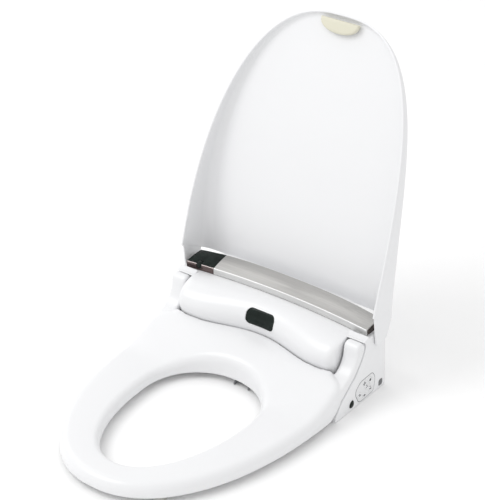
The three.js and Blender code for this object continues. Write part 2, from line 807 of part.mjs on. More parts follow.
function trimGrid(from, to, count) {
  return steps(count).map((t) => {
    const x = lerp(from, to, t);
    const [fy, fz] = [trimFrontY(x), trimFrontZ(x)];
    const [ry, rz] = [TRIM_REAR_Y, trimRearZ(x)];
    return [
      vector(x, fy, fz - TRIM_LIP),
      vector(x, fy, fz - 1.5),
      vector(x, fy + 1.2, fz),
      vector(x, lerp(fy, ry, 0.5), lerp(fz, rz, 0.5) + 1),
      vector(x, ry, rz),
    ];
  });
}

// The carrier under the trim, which shows as the bar's dark ends.
function trimCarrier() {
  const sections = steps(16).map((t) => {
    const x = lerp(-TRIM_X + 0.3, TRIM_X - 0.3, t);
    const slope = (trimRearZ(x) - trimFrontZ(x)) / (TRIM_REAR_Y - trimFrontY(x));
    const drop = (TRIM_THICKNESS + 1.1) * Math.hypot(1, slope);
    const [fy, ry] = [trimFrontY(x) + TRIM_THICKNESS + 1.4, TRIM_REAR_Y - 2.4];
    const fz = trimFrontZ(x) + slope * (fy - trimFrontY(x)) - drop;
    const rz = trimFrontZ(x) + slope * (ry - trimFrontY(x)) - drop;
    return [
      vector(x, fy, DECK_Z + GAP),
      vector(x, fy, fz),
      vector(x, ry, rz),
      vector(x, ry, DECK_Z + GAP),
    ];
  });
  return loft(sections);
}

const LENS = { x: -158, z: 122.6, radius: 5.2 };
const lensHole = rod(LENS.radius + GAP, [LENS.x, -24, LENS.z], [LENS.x, -6, LENS.z]);
add("top_trim_plate", shell(trimGrid(WINDOW_X + 0.2, TRIM_X, 16), TRIM_THICKNESS), BRUSHED_STEEL);
add(
  "display_window",
  cut(shell(trimGrid(-TRIM_X, WINDOW_X - 0.2, 5), TRIM_THICKNESS), lensHole),
  DARK_GLASS,
);
add("trim_carrier", cut(trimCarrier(), lensHole), DARK_BROWN);
add("power_button", rod(LENS.radius, [LENS.x, -16.8, LENS.z], [LENS.x, -8.2, LENS.z]), DARK_GLASS);

// ---------------------------------------------------------------- rear cover

const REAR_X = FASCIA_X - 3.5;
function rearCover() {
  const xs = [-1, -0.97, -0.9, -0.75, -0.5, -0.25, 0, 0.25, 0.5, 0.75, 0.9, 0.97, 1];
  const outline = (t) => [
    ...arc(LID_HINGE, REAR_RADIUS, 58 - 21 * t ** 6, 0, 7),
    [LID_HINGE.y + REAR_RADIUS - 0.5, 60],
    [LID_HINGE.y + REAR_RADIUS - 3, 0.5],
  ];
  const grid = xs.map((t) => outline(t).map(([y, z]) => vector(t * REAR_X, y - 15 * t ** 6, z)));
  const inlet = rod(9.3, [INLET.x, 20, INLET.z], [INLET.x, 60, INLET.z]);
  const gland = rod(8.3, [GLAND.x, 20, GLAND.z], [GLAND.x, 60, GLAND.z]);
  return cut(shell(grid, WALL), inlet, gland);
}
const INLET = { x: -120, z: 22 };
const GLAND = { x: 120, z: 24 };
add("rear_cover", rearCover(), WHITE);

function inletFitting() {
  const at = (y) => [INLET.x, y, INLET.z];
  const body = join(rod(9, at(28), at(50)), rod(7.5, at(49), at(56)), rod(12, at(26), at(32), 6));
  return cut(body, rod(4.5, at(34), at(58)));
}
add("water_inlet", inletFitting(), BRASS);
const gland = join(
  rod(8, [GLAND.x, 34, GLAND.z], [GLAND.x, 49, GLAND.z]),
  rod(10.5, [GLAND.x, 30, GLAND.z], [GLAND.x, 34.5, GLAND.z]),
);
add("cord_gland", gland, BLACK);

// ---------------------------------------------------------------- base, mounting plate, drain plug

const BASE_X = FASCIA_X - 3.5;
const PLATE_X = 82;
const PLATE_Y = [-62, 24];
const DRAIN = { x: -70, y: -84 };

function baseChassis() {
  const outline = [
    [UNIT_FRONT_Y, 0],
    [UNIT_FRONT_Y, 7],
    [-94, 20],
    [-82, 30],
    [-52, 30],
    [-52, 18],
    [24, 18],
    [24, 0],
  ];
  const pocket = [
    [UNIT_FRONT_Y + 3, 3],
    [UNIT_FRONT_Y + 3, 6],
    [-93, 17.2],
    [-81, 27],
    [-49, 27],
    [-49, 40],
    [21, 40],
    [21, 3],
  ];
  let base = slab(outline, [-BASE_X, BASE_X]);
  base = cut(base, slab(pocket, [-BASE_X + 3, BASE_X - 3]));
  base = join(base, box([-120, 120], [22, 36.6], [0, 3]));
  base = join(base, box([-PLATE_X - 4, PLATE_X + 4], [PLATE_Y[0] - 4, PLATE_Y[1] + 4], [0, 7.4]));
  base = cut(base, box([-PLATE_X, PLATE_X], PLATE_Y, [-1, 4.4]));
  base = cut(base, rod(6.3, [DRAIN.x, DRAIN.y, -1], [DRAIN.x, DRAIN.y, 8]));
  const lane = nozzleBox([-60, 40], [-12.5, 12.5], [-11, 12]);
  const port = [NOZZLE.x - PORT_HALF_WIDTH - 0.5, NOZZLE.x + PORT_HALF_WIDTH + 0.5];
  return cut(base, lane, box(port, [-116, -80], [-1, 30]));
}
add("base_chassis", baseChassis(), WHITE_MATT);

function mountingPlate() {
  let plate = box([-PLATE_X + 0.4, PLATE_X - 0.4], [PLATE_Y[0] + 0.4, PLATE_Y[1] - 0.4], [0, 4]);
  for (const side of [1, -1]) {
    const x = side * 70;
    plate = cut(plate, box([x - 3.5, x + 3.5], [-14, 14], [-1, 5]));
    plate = cut(plate, box([x - 6.5, x + 6.5], [-14, 14], [2.2, 5]));
  }
  return plate;
}
add("mounting_plate", mountingPlate(), GREY);
add("drain_plug", rod(6, [DRAIN.x, DRAIN.y, 0.4], [DRAIN.x, DRAIN.y, 9], 6), GREY);

// ---------------------------------------------------------------- hinge pins and soft-close dampers

for (const [word, side] of [["right", 1], ["left", -1]]) {
  const seatPin = (x) => [side * x, SEAT_HINGE.y, SEAT_HINGE.z];
  const lidPin = (x) => [side * x, LID_HINGE.y, LID_HINGE.z];
  add(`seat_hinge_pin_${word}`, rod(PIN_RADIUS, seatPin(SEAT_PIN_X[0] - 4), seatPin(SEAT_PIN_X[1])), STEEL);
  add(`lid_hinge_pin_${word}`, rod(PIN_RADIUS, lidPin(162), lidPin(LID_EAR_X[1] - 2)), STEEL);
}
add("seat_damper", rod(9, [112, SEAT_HINGE.y + 8, 100], [153.6, SEAT_HINGE.y + 8, 100]), GREY);
add("lid_damper", rod(8, [-161.6, LID_HINGE.y, LID_HINGE.z], [-112, LID_HINGE.y, LID_HINGE.z]), GREY);

// ---------------------------------------------------------------- wash nozzle and its drive

const NOZZLE_REST = -14; // the tip waits this far inside the port
const nozzleRod = (radius, from, to, across = 0, above = 0) =>
  rod(
    radius,
    nozzlePoint(from, across, above).toArray(),
    nozzlePoint(to, across, above).toArray(),
  );

const nozzleTip = cut(
  nozzleRod(6.2, NOZZLE_REST - 26, NOZZLE_REST),
  nozzleBox([NOZZLE_REST - 20, NOZZLE_REST + 2], [-7, 7], [5.2, 8]),
);
add("nozzle_tip", nozzleTip, WHITE);
add("nozzle_wand", nozzleRod(5.6, NOZZLE_REST - 132, NOZZLE_REST - 26.3), WHITE_MATT);

const WHEEL_OUT = -108;
const WHEEL_ABOVE = 5.6 + GAP + WHEEL_RADIUS;
const portCheek = [
  [-121, 0],
  [-120, 5],
  [-112, 8.6],
  [-100, 8.6],
  [-100, 0],
];
function nozzleHousing() {
  let housing = nozzleBox([-128, -12], [-12, 12], [-9.5, 9.5]);
  const flange = [-PORT_HALF_WIDTH, PORT_HALF_WIDTH];
  housing = join(housing, nozzleBox([-17, -11], flange, [-9.5, 9.5]));
  for (const side of [-1, 1]) {
    const across = [side * PORT_HALF_WIDTH, side * (PORT_HALF_WIDTH - 2.4)].sort((a, b) => a - b);
    housing = join(housing, nozzleBox([-14, 8], across, [-6, 6]));
    housing = join(housing, slab(portCheek, across.map((x) => x + NOZZLE.x)));
  }
  housing = cut(housing, nozzleRod(6.9, -140, 10));
  const slot = nozzleBox([WHEEL_OUT - 10, WHEEL_OUT + 10], [-6.5, 6.5], [3, 12]);
  const below = box([-30, 40], [-140, -40], [-20, 0.8]);
  const above = box([-30, 40], [-140, -99], [9, 30]);
  return cut(housing, slot, below, above);
}
add("nozzle_housing", nozzleHousing(), GREY);

const wheelAt = (x) => [x, nozzlePoint(WHEEL_OUT, 0, WHEEL_ABOVE).y, nozzlePoint(WHEEL_OUT, 0, WHEEL_ABOVE).z];
const driveWheel = join(
  rod(WHEEL_RADIUS, wheelAt(NOZZLE.x - 5), wheelAt(NOZZLE.x + 5), 32),
  rod(2, wheelAt(NOZZLE.x + 4), wheelAt(NOZZLE.x + 18)),
);
add("nozzle_drive_wheel", driveWheel, RUBBER);
const nozzleMotor = cut(
  rod(12, wheelAt(NOZZLE.x + 15), wheelAt(NOZZLE.x + 38)),
  rod(2 + GAP, wheelAt(NOZZLE.x + 10), wheelAt(NOZZLE.x + 19)),
);
add("nozzle_motor", nozzleMotor, STEEL);

// ---------------------------------------------------------------- water, air and electronics inside

const tank = slab(
  roundedRectangle(58, 76, 10).map(([y, z]) => [y - 6, z + 52]),
  [-108, -20],
);
add("heater_tank", tank, BLACK);
add("inlet_valve", join(box([-146, -116], [-24, 0], [8, 34]), rod(8, [-131, -12, 33], [-131, -12, 56])), WHITE_MATT);
add("water_pump", join(rod(13, [112, -18, 24], [148, -18, 24]), box([118, 142], [-24, -12], [9, 14])), GREY);
add("control_board", box([52, 148], [16, 17.6], [21, 94]), BOARD_GREEN);

const FAN = { x: [72, 100], y: -14, z: 70, radius: 26 };
const fanAt = (x) => [x, FAN.y, FAN.z];
const fanHousing = cut(
  join(rod(FAN.radius, fanAt(FAN.x[0]), fanAt(FAN.x[1]), 32), box([...FAN.x], [-46, -14], [44, 56])),
  rod(FAN.radius - 2.5, fanAt(FAN.x[0] + 2.5), fanAt(FAN.x[1] + 1), 32),
);
add("fan_housing", fanHousing, BLACK);
function fanRotor() {
  let rotor = rod(5, fanAt(FAN.x[0] + 4), fanAt(FAN.x[1] - 3));
  rotor = join(rotor, rod(20, fanAt(FAN.x[0] + 4), fanAt(FAN.x[0] + 6), 32));
  const blades = 11;
  for (let i = 0; i < blades; i++) {
    const turn = (2 * Math.PI * i) / blades;
    const blade = new THREE.BoxGeometry(20, 9, 1.2);
    blade.translate(0, 15, 0);
    blade.rotateX(turn);
    blade.translate((FAN.x[0] + FAN.x[1]) / 2 + 1, FAN.y, FAN.z);
    rotor = join(rotor, solid(blade));
  }
  return rotor;
}
add("fan_rotor", fanRotor(), GREY);
add("dryer_duct", box([74, 98], [-76, -47], [8, 25]), GREY);

const filter = join(
  slab(
    [
      [FILTER.y[0], FILTER.z[0]],
      [FILTER.y[1], FILTER.z[0]],
      [FILTER.y[1], FILTER.z[1]],
      [FILTER.y[0], FILTER.z[1]],
    ],
    [-COVER_X - 0.2, -COVER_X + 2.2],
  ),
  box([-COVER_X + 2, -COVER_X + 24], [FILTER.y[0] + 3, FILTER.y[1] - 3], [FILTER.z[0] + 3, FILTER.z[1] - 3]),
);
add("deodoriser_filter", filter, WHITE_MATT);

export default parts;
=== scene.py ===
"""Looks of the electric bidet seat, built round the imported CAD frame. Metres, +Z up, -Y to the seat's tip."""

import math

import bmesh
import bpy
from mathutils import Matrix, Vector


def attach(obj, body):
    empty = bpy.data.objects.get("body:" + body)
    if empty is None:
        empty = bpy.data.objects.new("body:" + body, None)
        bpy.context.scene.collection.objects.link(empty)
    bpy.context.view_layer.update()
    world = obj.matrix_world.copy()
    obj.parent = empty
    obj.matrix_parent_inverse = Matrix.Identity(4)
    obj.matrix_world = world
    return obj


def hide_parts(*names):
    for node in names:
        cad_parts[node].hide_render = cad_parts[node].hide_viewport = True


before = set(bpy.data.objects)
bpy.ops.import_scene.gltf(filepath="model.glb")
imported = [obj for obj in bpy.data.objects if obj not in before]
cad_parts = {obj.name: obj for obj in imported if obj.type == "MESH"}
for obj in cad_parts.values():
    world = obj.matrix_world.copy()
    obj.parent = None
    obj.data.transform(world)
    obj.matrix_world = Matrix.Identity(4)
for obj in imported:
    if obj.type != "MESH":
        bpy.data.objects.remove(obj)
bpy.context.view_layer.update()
MM = 0.001

# ---------------------------------------------------------------- driving dimensions, in millimetres

SKIN = 3
SEAT_TIP_Y = -475
SEAT_HALF_WIDTH = 192.6
SEAT_WIDEST_Y = -125
SEAT_POWER = 2.2
SEAT_BOTTOM_Z = 10
SEAT_TOP_Z = 34
SEAT_DECK_RISE = 29.5
OPENING = dict(half_width=102.9, front_y=-420.8, widest_y=-224.6, rear_y=-122, power=2.08)
ARM_X = (161.5, 190.8)
SEAT_HINGE = (-40, 101)
SEAT_BORE_END_X = 178.5
ARM_END_RADIUS = 11
SEAT_GAP = 1.1
SEAT_VOXEL = 1.35
SEAT_SMOOTHING = 14
HINGE_BORE_RADIUS = 4.3

LID_HINGE = (2.5, 101)
LID_OPEN = math.radians(116.2)
LID_TIP_Y = -478
LID_HALF_WIDTH = 196.9
LID_X = 196.2
LID_WIDEST_Y = -26.6
LID_POWER = 2.66
LID_REAR_Y = -32
LID_SPAN = 435
LID_WALL = 3.6
LID_DRAFT = 0.5
LID_CROWN = 3
LID_REAR_ROLL = 1.2
LID_BORE_X = (190, 194.7)
LID_SPINE_FRONT_Y = -350

COVER_X = 191.3
COVER_WALL = 2.7
FASCIA_X = 158.5
UNIT_FRONT_Y = -110
COVER_REAR_Y = 27
DECK_Z = 112
REAR_RADIUS = 44
REAR_X = FASCIA_X - 3.5

TRIM_X = 183.2
TRIM_THICKNESS = 2.2
TRIM_LIP = 11.3
TRIM_REAR_Y = 22
WINDOW_X = -128

INLET = (-120, 22)
CORD_EXIT = (120, 24)

# ---------------------------------------------------------------- small mathematics


def lerp(a, b, t):
    return a + (b - a) * t


def clamp(value, low, high):
    return max(low, min(high, value))


def smooth(t):
    t = clamp(t, 0, 1)
    return t * t * (3 - 2 * t)


def steps(count):
    return [i / count for i in range(count + 1)]


def arc(centre, radius, start, end, count):
    angles = (math.radians(lerp(start, end, t)) for t in steps(count))
    return [(centre[0] + radius * math.cos(a), centre[1] + radius * math.sin(a)) for a in angles]


def bezier(a, b, c, d, count):
    out = []
    for t in steps(count):
        s = 1 - t
        weights = (s**3, 3 * s * s * t, 3 * s * t * t, t**3)
        out.append(tuple(sum(w * p[k] for w, p in zip(weights, (a, b, c, d))) for k in range(len(a))))
    return out


def superellipse(half_width, end_y, widest_y, power, turn):
    """Right half of a superellipse: turn is 0 at its end and 90 at its widest."""
    a = math.radians(turn)
    x = half_width * math.sin(a) ** (2 / power)
    y = widest_y + (end_y - widest_y) * max(0.0, math.cos(a)) ** (2 / power)
    return x, y


def rounded(outline, radius, count=5):
    """A closed outline with each of its corners turned into an arc, as far as its sides allow."""
    out = []
    for i, corner in enumerate(outline):
        here = Vector(corner)
        back = Vector(outline[i - 1]) - here
        ahead = Vector(outline[(i + 1) % len(outline)]) - here
        reach = min(radius, 0.45 * back.length, 0.45 * ahead.length)
        start = here + back.normalized() * reach
        end = here + ahead.normalized() * reach
        for t in steps(count):
            first = start.lerp(here, t)
            out.append(tuple(first.lerp(here.lerp(end, t), t)))
    return out


def rounded_rectangle(width, height, radius, count=8):
    w, h = width / 2 - radius, height / 2 - radius
    corners = [(w, h, 0), (-w, h, 90), (-w, -h, 180), (w, -h, 270)]
    return [point for x, y, start in corners for point in arc((x, y), radius, start, start + 90, count)]


def inset(outline, distance):
    """A closed outline moved inwards, with mitred corners."""
    area = sum(p[0] * q[1] - q[0] * p[1] for p, q in zip(outline, outline[1:] + outline[:1]))
    side = math.copysign(distance, area)
    out = []
    for i, point in enumerate(outline):
        here = Vector(point)
        first = (here - Vector(outline[i - 1])).normalized()
        second = (Vector(outline[(i + 1) % len(outline)]) - here).normalized()
        inward = Vector((-first.y - second.y, first.x + second.x)).normalized()
        share = max(0.4, -first.y * inward.x + first.x * inward.y)
        out.append(tuple(here + inward * (side / share)))
    return out


# ---------------------------------------------------------------- mesh tools


def make_object(name, vertices, faces):
    mesh = bpy.data.meshes.new(name)
    mesh.from_pydata([tuple(c * MM for c in v) for v in vertices], [], faces)
    mesh.validate()
    made = bmesh.new()
    made.from_mesh(mesh)
    bmesh.ops.remove_doubles(made, verts=made.verts, dist=0.00002)
    bmesh.ops.recalc_face_normals(made, faces=made.faces)
    made.to_mesh(mesh)
    made.free()
    piece = bpy.data.objects.new(name, mesh)
    bpy.context.scene.collection.objects.link(piece)
    return piece


def grid_faces(rows, columns, start=0, closed=False, flip=False):
    faces = []
    for i in range(rows - 1):
        for j in range(columns if closed else columns - 1):
            k = (j + 1) % columns
            a, b = start + i * columns + j, start + i * columns + k
            c, d = start + (i + 1) * columns + k, start + (i + 1) * columns + j
            faces.append((a, d, c, b) if flip else (a, b, c, d))
    return faces


def tube_object(name, sections, ends=False):
    """A surface through closed sections that have the same number of points."""
    rows, columns = len(sections), len(sections[0])
    vertices = [point for section in sections for point in section]
    faces = grid_faces(rows, columns, closed=True)
    if ends:
        faces.append(tuple(range(columns)))
        faces.append(tuple(range((rows - 1) * columns, rows * columns)))
    return make_object(name, vertices, faces)


def slab_object(name, outline, span, edge_round=0.0, axis="x"):
    """A flat outline extruded along an axis, with rounded edges if asked: (y, z) along x, (x, z) along y."""
    low, high = min(span), max(span)
    profile = [(0.0, 0.0)]
    if edge_round:
        turns = [math.pi / 2 * t for t in steps(5)]
        profile = [(edge_round * (1 - math.sin(a)), edge_round * (1 - math.cos(a))) for a in turns]
    rings = [(low + depth, into) for into, depth in profile]
    rings += [(high - depth, into) for into, depth in reversed(profile)]
    sections = []
    for at, into in rings:
        flat = inset(outline, into) if into else outline
        sections.append([(at, u, v) if axis == "x" else (u, at, v) for u, v in flat])
    return tube_object(name, sections, ends=True)


def lathe_object(name, profile, start, along, sides=64):
    """A (distance along, radius) profile turned about an axis, closed at both ends."""
    axis = Vector(along).normalized()
    across = axis.orthogonal().normalized()
    up = axis.cross(across)
    sections = []
    for distance, radius in profile:
        centre = Vector(start) + axis * distance
        turns = [2 * math.pi * i / sides for i in range(sides)]
        sections.append([tuple(centre + (across * math.cos(a) + up * math.sin(a)) * radius) for a in turns])
    return tube_object(name, sections, ends=True)


def rod_object(radius, start, end, sides=48):
    span = Vector(end) - Vector(start)
    return lathe_object("rod", [(0, radius), (span.length, radius)], start, span, sides)


def box_object(x, y, z):
    outline = [(y[0], z[0]), (y[1], z[0]), (y[1], z[1]), (y[0], z[1])]
    return slab_object("box", outline, x)


def modifier(piece, kind, **settings):
    added = piece.modifiers.new(kind.lower(), kind)
    for key, value in settings.items():
        setattr(added, key, value)
    return added


def apply_modifiers(piece):
    bpy.context.view_layer.update()
    graph = bpy.context.evaluated_depsgraph_get()
    mesh = bpy.data.meshes.new_from_object(piece.evaluated_get(graph))
    piece.modifiers.clear()
    piece.data = mesh
    return piece


def merge(name, pieces):
    """Puts several meshes into one object."""
    joined = bmesh.new()
    for piece in pieces:
        joined.from_mesh(piece.data)
        bpy.data.objects.remove(piece)
    mesh = bpy.data.meshes.new(name)
    joined.to_mesh(mesh)
    joined.free()
    result = bpy.data.objects.new(name, mesh)
    bpy.context.scene.collection.objects.link(result)
    return result


def fuse(name, pieces, voxel, passes):
    """Melts overlapping solids into one body whose inner corners are softly filleted."""
    body = merge(name, pieces)
    modifier(body, "REMESH", mode="VOXEL", voxel_size=voxel * MM, use_smooth_shade=True)
    modifier(body, "SMOOTH", factor=0.5, iterations=passes)
    apply_modifiers(body)
    shade_smooth(body)
    return body


def combine(body, others, operation):
    """Adds, subtracts or intersects closed solids."""
    for other in others:
        modifier(body, "BOOLEAN", operation=operation, object=other, solver="MANIFOLD")
    apply_modifiers(body)
    for other in others:
        bpy.data.objects.remove(other)
    return body


def carve(body, *cutters):
    return combine(body, cutters, "DIFFERENCE")


def unite(body, *others):
    return combine(body, others, "UNION")


def shade_smooth(piece, angle=None):
    piece.data.polygons.foreach_set("use_smooth", [True] * len(piece.data.polygons))
    if angle is not None:
        piece.data.set_sharp_from_angle(angle=math.radians(angle))
    piece.data.update()


def soften_edges(piece, width=0.5, segments=3, angle=35):
    modifier(
        piece,
        "BEVEL",
        width=width * MM,
        segments=segments,
        limit_method="ANGLE",
        angle_limit=math.radians(angle),
        harden_normals=False,
    )


# ---------------------------------------------------------------- materials


def new_material(name):
    material = bpy.data.materials.new(name)
    material.use_nodes = True
    nodes = material.node_tree.nodes
    return material, nodes, material.node_tree.links, nodes["Principled BSDF"]


def noise(nodes, links, scale, detail=3.0, stretch=(1, 1, 1), roughness=0.5):
    place = nodes.new("ShaderNodeTexCoord")
    mapping = nodes.new("ShaderNodeMapping")
    mapping.inputs["Scale"].default_value = stretch
    texture = nodes.new("ShaderNodeTexNoise")
    texture.inputs["Scale"].default_value = scale
    texture.inputs["Detail"].default_value = detail
    texture.inputs["Roughness"].default_value = roughness
    links.new(place.outputs["Object"], mapping.inputs["Vector"])
    links.new(mapping.outputs["Vector"], texture.inputs["Vector"])
    return texture.outputs["Fac"]


def ramp(nodes, links, factor, stops):
    made = nodes.new("ShaderNodeValToRGB")
    elements = made.color_ramp.elements
    for element, (at, colour) in zip(elements, (stops[0], stops[-1])):
        element.position = at
        element.color = colour
    for at, colour in stops[1:-1]:
        elements.new(at).color = colour
    links.new(factor, made.inputs["Fac"])
    return made.outputs["Color"]


def value_range(nodes, links, factor, low, high):
    made = nodes.new("ShaderNodeMapRange")
    made.inputs["To Min"].default_value = low
    made.inputs["To Max"].default_value = high
    links.new(factor, made.inputs["Value"])
    return made.outputs["Result"]


def bump(nodes, links, shader, height, strength, distance):
    made = nodes.new("ShaderNodeBump")
    made.inputs["Strength"].default_value = strength
    made.inputs["Distance"].default_value = distance
    links.new(height, made.inputs["Height"])
    links.new(made.outputs["Normal"], shader.inputs["Normal"])


def grey(level, tint=(1, 1, 1)):
    return (level * tint[0], level * tint[1], level * tint[2], 1)


def moulded_plastic(name, colour, roughness, grain=0.12, grain_scale=900, coat=0.0, spread=0.02):
    """Injection-moulded plastic: faint flow marks in its tone, uneven gloss and a very fine skin."""
    material, nodes, links, shader = new_material(name)
    flow = noise(nodes, links, 9, detail=4, stretch=(1, 1, 1.6))
    darker = tuple(c * (1 - spread) for c in colour) + (1,)
    lighter = tuple(min(1, c * (1 + spread * 0.5)) for c in colour) + (1,)
    links.new(ramp(nodes, links, flow, [(0.3, darker), (0.7, lighter)]), shader.inputs["Base Color"])
    cloud = noise(nodes, links, 260, detail=3)
    links.new(
        value_range(nodes, links, cloud, roughness * 0.95, roughness * 1.06),
        shader.inputs["Roughness"],
    )
    bump(nodes, links, shader, noise(nodes, links, grain_scale, detail=2), grain, 0.0002)
    shader.inputs["IOR"].default_value = 1.49
    shader.inputs["Coat Weight"].default_value = coat
    shader.inputs["Coat Roughness"].default_value = 0.08
    return material


def brushed_metal(name, colour, roughness=0.3, scale=420):
    """Metal brushed along X: long fine scratches that vary tone, gloss and height."""
    material, nodes, links, shader = new_material(name)
    scratches = noise(nodes, links, scale, detail=6, stretch=(0.012, 1, 1), roughness=0.65)
    dark = tuple(c * 0.86 for c in colour) + (1,)
    light = tuple(min(1, c * 1.08) for c in colour) + (1,)
    links.new(ramp(nodes, links, scratches, [(0.3, dark), (0.7, light)]), shader.inputs["Base Color"])
    links.new(
        value_range(nodes, links, scratches, roughness * 0.75, roughness * 1.3),
        shader.inputs["Roughness"],
    )
    bump(nodes, links, shader, scratches, 0.12, 0.0001)
    shader.inputs["Metallic"].default_value = 1.0
    shader.inputs["Anisotropic"].default_value = 0.5
    return material


def smoked_window(name, colour):
    """Deep glossy smoked plastic with a trace of mottling under its polish."""
    material, nodes, links, shader = new_material(name)
    mottle = noise(nodes, links, 60, detail=3)
    deep = tuple(c * 0.7 for c in colour) + (1,)
    pale = tuple(c * 1.3 for c in colour) + (1,)
    links.new(ramp(nodes, links, mottle, [(0.3, deep), (0.7, pale)]), shader.inputs["Base Color"])
    links.new(value_range(nodes, links, mottle, 0.1, 0.17), shader.inputs["Roughness"])
    shader.inputs["IOR"].default_value = 1.22
    return material


def printed_board(name):
    """Lacquered circuit board: green mask over faint copper tracks and pads."""
    material, nodes, links, shader = new_material(name)
    place = nodes.new("ShaderNodeTexCoord")
    tracks = nodes.new("ShaderNodeTexVoronoi")
    tracks.feature = "DISTANCE_TO_EDGE"
    tracks.inputs["Scale"].default_value = 130
    links.new(place.outputs["Object"], tracks.inputs["Vector"])
    colours = [(0.0, (0.10, 0.30, 0.14, 1)), (0.06, (0.02, 0.13, 0.06, 1)), (1.0, (0.015, 0.1, 0.05, 1))]
    links.new(ramp(nodes, links, tracks.outputs["Distance"], colours), shader.inputs["Base Color"])
    bump(nodes, links, shader, tracks.outputs["Distance"], 0.2, 0.0002)
    shader.inputs["Roughness"].default_value = 0.35
    return material


WHITE = moulded_plastic("white_gloss", (0.795, 0.798, 0.808), 0.32, grain=0.03, coat=0.15, spread=0.004)
WHITE_MATT = moulded_plastic("white_matt", (0.76, 0.762, 0.77), 0.48, grain=0.25, grain_scale=1600)
CREAM = moulded_plastic("cream_pad", (0.67, 0.65, 0.53), 0.55, grain=0.3, grain_scale=2200)
GREY = moulded_plastic("grey_plastic", (0.2, 0.205, 0.21), 0.5, grain=0.3, grain_scale=1800, spread=0.06)
MARK = moulded_plastic("mark_grey", (0.035, 0.037, 0.04), 0.5, grain=0.1, spread=0.05)
BLACK = moulded_plastic("black_plastic", (0.022, 0.023, 0.025), 0.45, grain=0.3, grain_scale=1800, spread=0.1)
BROWN = moulded_plastic("dark_brown", (0.05, 0.036, 0.028), 0.38, grain=0.15, spread=0.1)
RUBBER = moulded_plastic("grey_rubber", (0.45, 0.45, 0.43), 0.8, grain=0.5, grain_scale=2600, spread=0.05)
BLACK_RUBBER = moulded_plastic("black_rubber", (0.02, 0.02, 0.02), 0.75, grain=0.5, grain_scale=2600)
WINDOW = smoked_window("dark_window", (0.012, 0.017, 0.015))
BAR = brushed_metal("brushed_bar", (0.55, 0.543, 0.53), 0.6)
# Painted highlight: the two edge metals are brighter copies of the bar and window, coloured to stand for light
# caught on the front chamfer.
EDGE_PAINTED_HIGHLIGHT = brushed_metal("edge_painted_highlight", (0.8, 0.8, 0.8), 0.35, scale=600)
# Painted reflection: the two lip metals are differently coloured copies of the bar and window, coloured to
# stand for the reflection on the lip faces.
LIP_PAINTED_REFLECTION = brushed_metal("lip_painted_reflection", (0.72, 0.72, 0.71), 0.35, scale=600)
WINDOW_EDGE_PAINTED_HIGHLIGHT = brushed_metal("window_edge_painted_highlight", (0.5, 0.44, 0.43), 0.25, scale=600)
WINDOW_LIP_PAINTED_REFLECTION = brushed_metal("window_lip_painted_reflection", (0.15, 0.115, 0.112), 0.25, scale=600)
STEEL = brushed_metal("steel_pin", (0.66, 0.67, 0.68), 0.28)
BRASS = brushed_metal("brass_fitting", (0.72, 0.5, 0.22), 0.3)
COPPER = moulded_plastic("copper_film", (0.45, 0.22, 0.12), 0.4, grain=0.3)
BOARD = printed_board("board")


def paint(piece, *materials):
    piece.data.materials.clear()
    for material in materials:
        piece.data.materials.append(material)
    return piece


def finish_piece(piece, material, slot, body, *nodes):
    """Gives a finished piece its material if it has none yet and its body, and hides its CAD nodes; the slot
    argument is not used.
    """
    if not any(piece.data.materials):
        paint(piece, material)
    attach(piece, body)
    if nodes:
        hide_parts(*nodes)
    return piece


# ---------------------------------------------------------------- curves that pieces share


def bulge(x):
    return -63 + 13 * math.cos(math.pi * x / 132)


def fascia_foot_z(x):
    return 61.5 + 4 * (x / 130) ** 2


def trim_front_y(x):
    return -11 - 6.3 * (x / TRIM_X) ** 2


def trim_front_z(x):
    return 129 - 5.2 * (x / TRIM_X) ** 2


def trim_rear_z(x):
    return 140.5 - 12 * abs(x / 175) ** 2.5


CREASE = [
    (SEAT_HINGE[0] + ARM_END_RADIUS, SEAT_HINGE[1]),
    (-31.5, 92),
    (-37.5, 80.5),
    (-55, 59),
    (-75, 44),
    (-95, 29),
    (-112, 13),
    (-119, SEAT_BOTTOM_Z),
]


def mirror_x(points):
    return [(-x, y, z) for x, y, z in points]


# ---------------------------------------------------------------- seat


def seat_top_z(x, y):
    deck = SEAT_DECK_RISE * smooth((y + 190) / 130)
    sides = 5 * min(1, abs(x) / 150) ** 2 * smooth((y + 130) / 60)
    return SEAT_TOP_Z + deck + sides


def seat_bottom_z(y):
    return SEAT_BOTTOM_Z + 28 * smooth((y + 118) / 38)


def opening_point(turn):
    end_y = OPENING["rear_y"] if turn > 90 else OPENING["front_y"]
    return superellipse(
        OPENING["half_width"], end_y, OPENING["widest_y"], OPENING["power"], min(turn, 180 - turn)
    )


def opening_towards(edge):
    """The point of the opening's edge that lies towards a point of the outer edge."""
    centre_y = -255
    bearing = math.atan2(edge[0], centre_y - edge[1])
    low, high = 0.0, 180.0
    for _ in range(40):
        middle = (low + high) / 2
        px, py = opening_point(middle)
        if math.atan2(px, centre_y - py) < bearing:
            low = middle
        else:
            high = middle
    return opening_point(low)


def seat_edge():
    """The outer edge in plan, right half, from the middle of the back to the tip."""
    rear = [(ARM_X[0] * t, bulge(ARM_X[0] * t) - SEAT_GAP) for t in steps(60)]
    corner = [(177, -78), (187, -88), (ARM_X[1] + 0.4, -100)]
    corner = bezier(rear[-1], corner[0], corner[1], corner[2], 14)[1:]
    turns = [90 * (1 - t) for t in steps(110)]
    side = [superellipse(SEAT_HALF_WIDTH, SEAT_TIP_Y, SEAT_WIDEST_Y, SEAT_POWER, turn) for turn in turns]
    return rear + corner + side


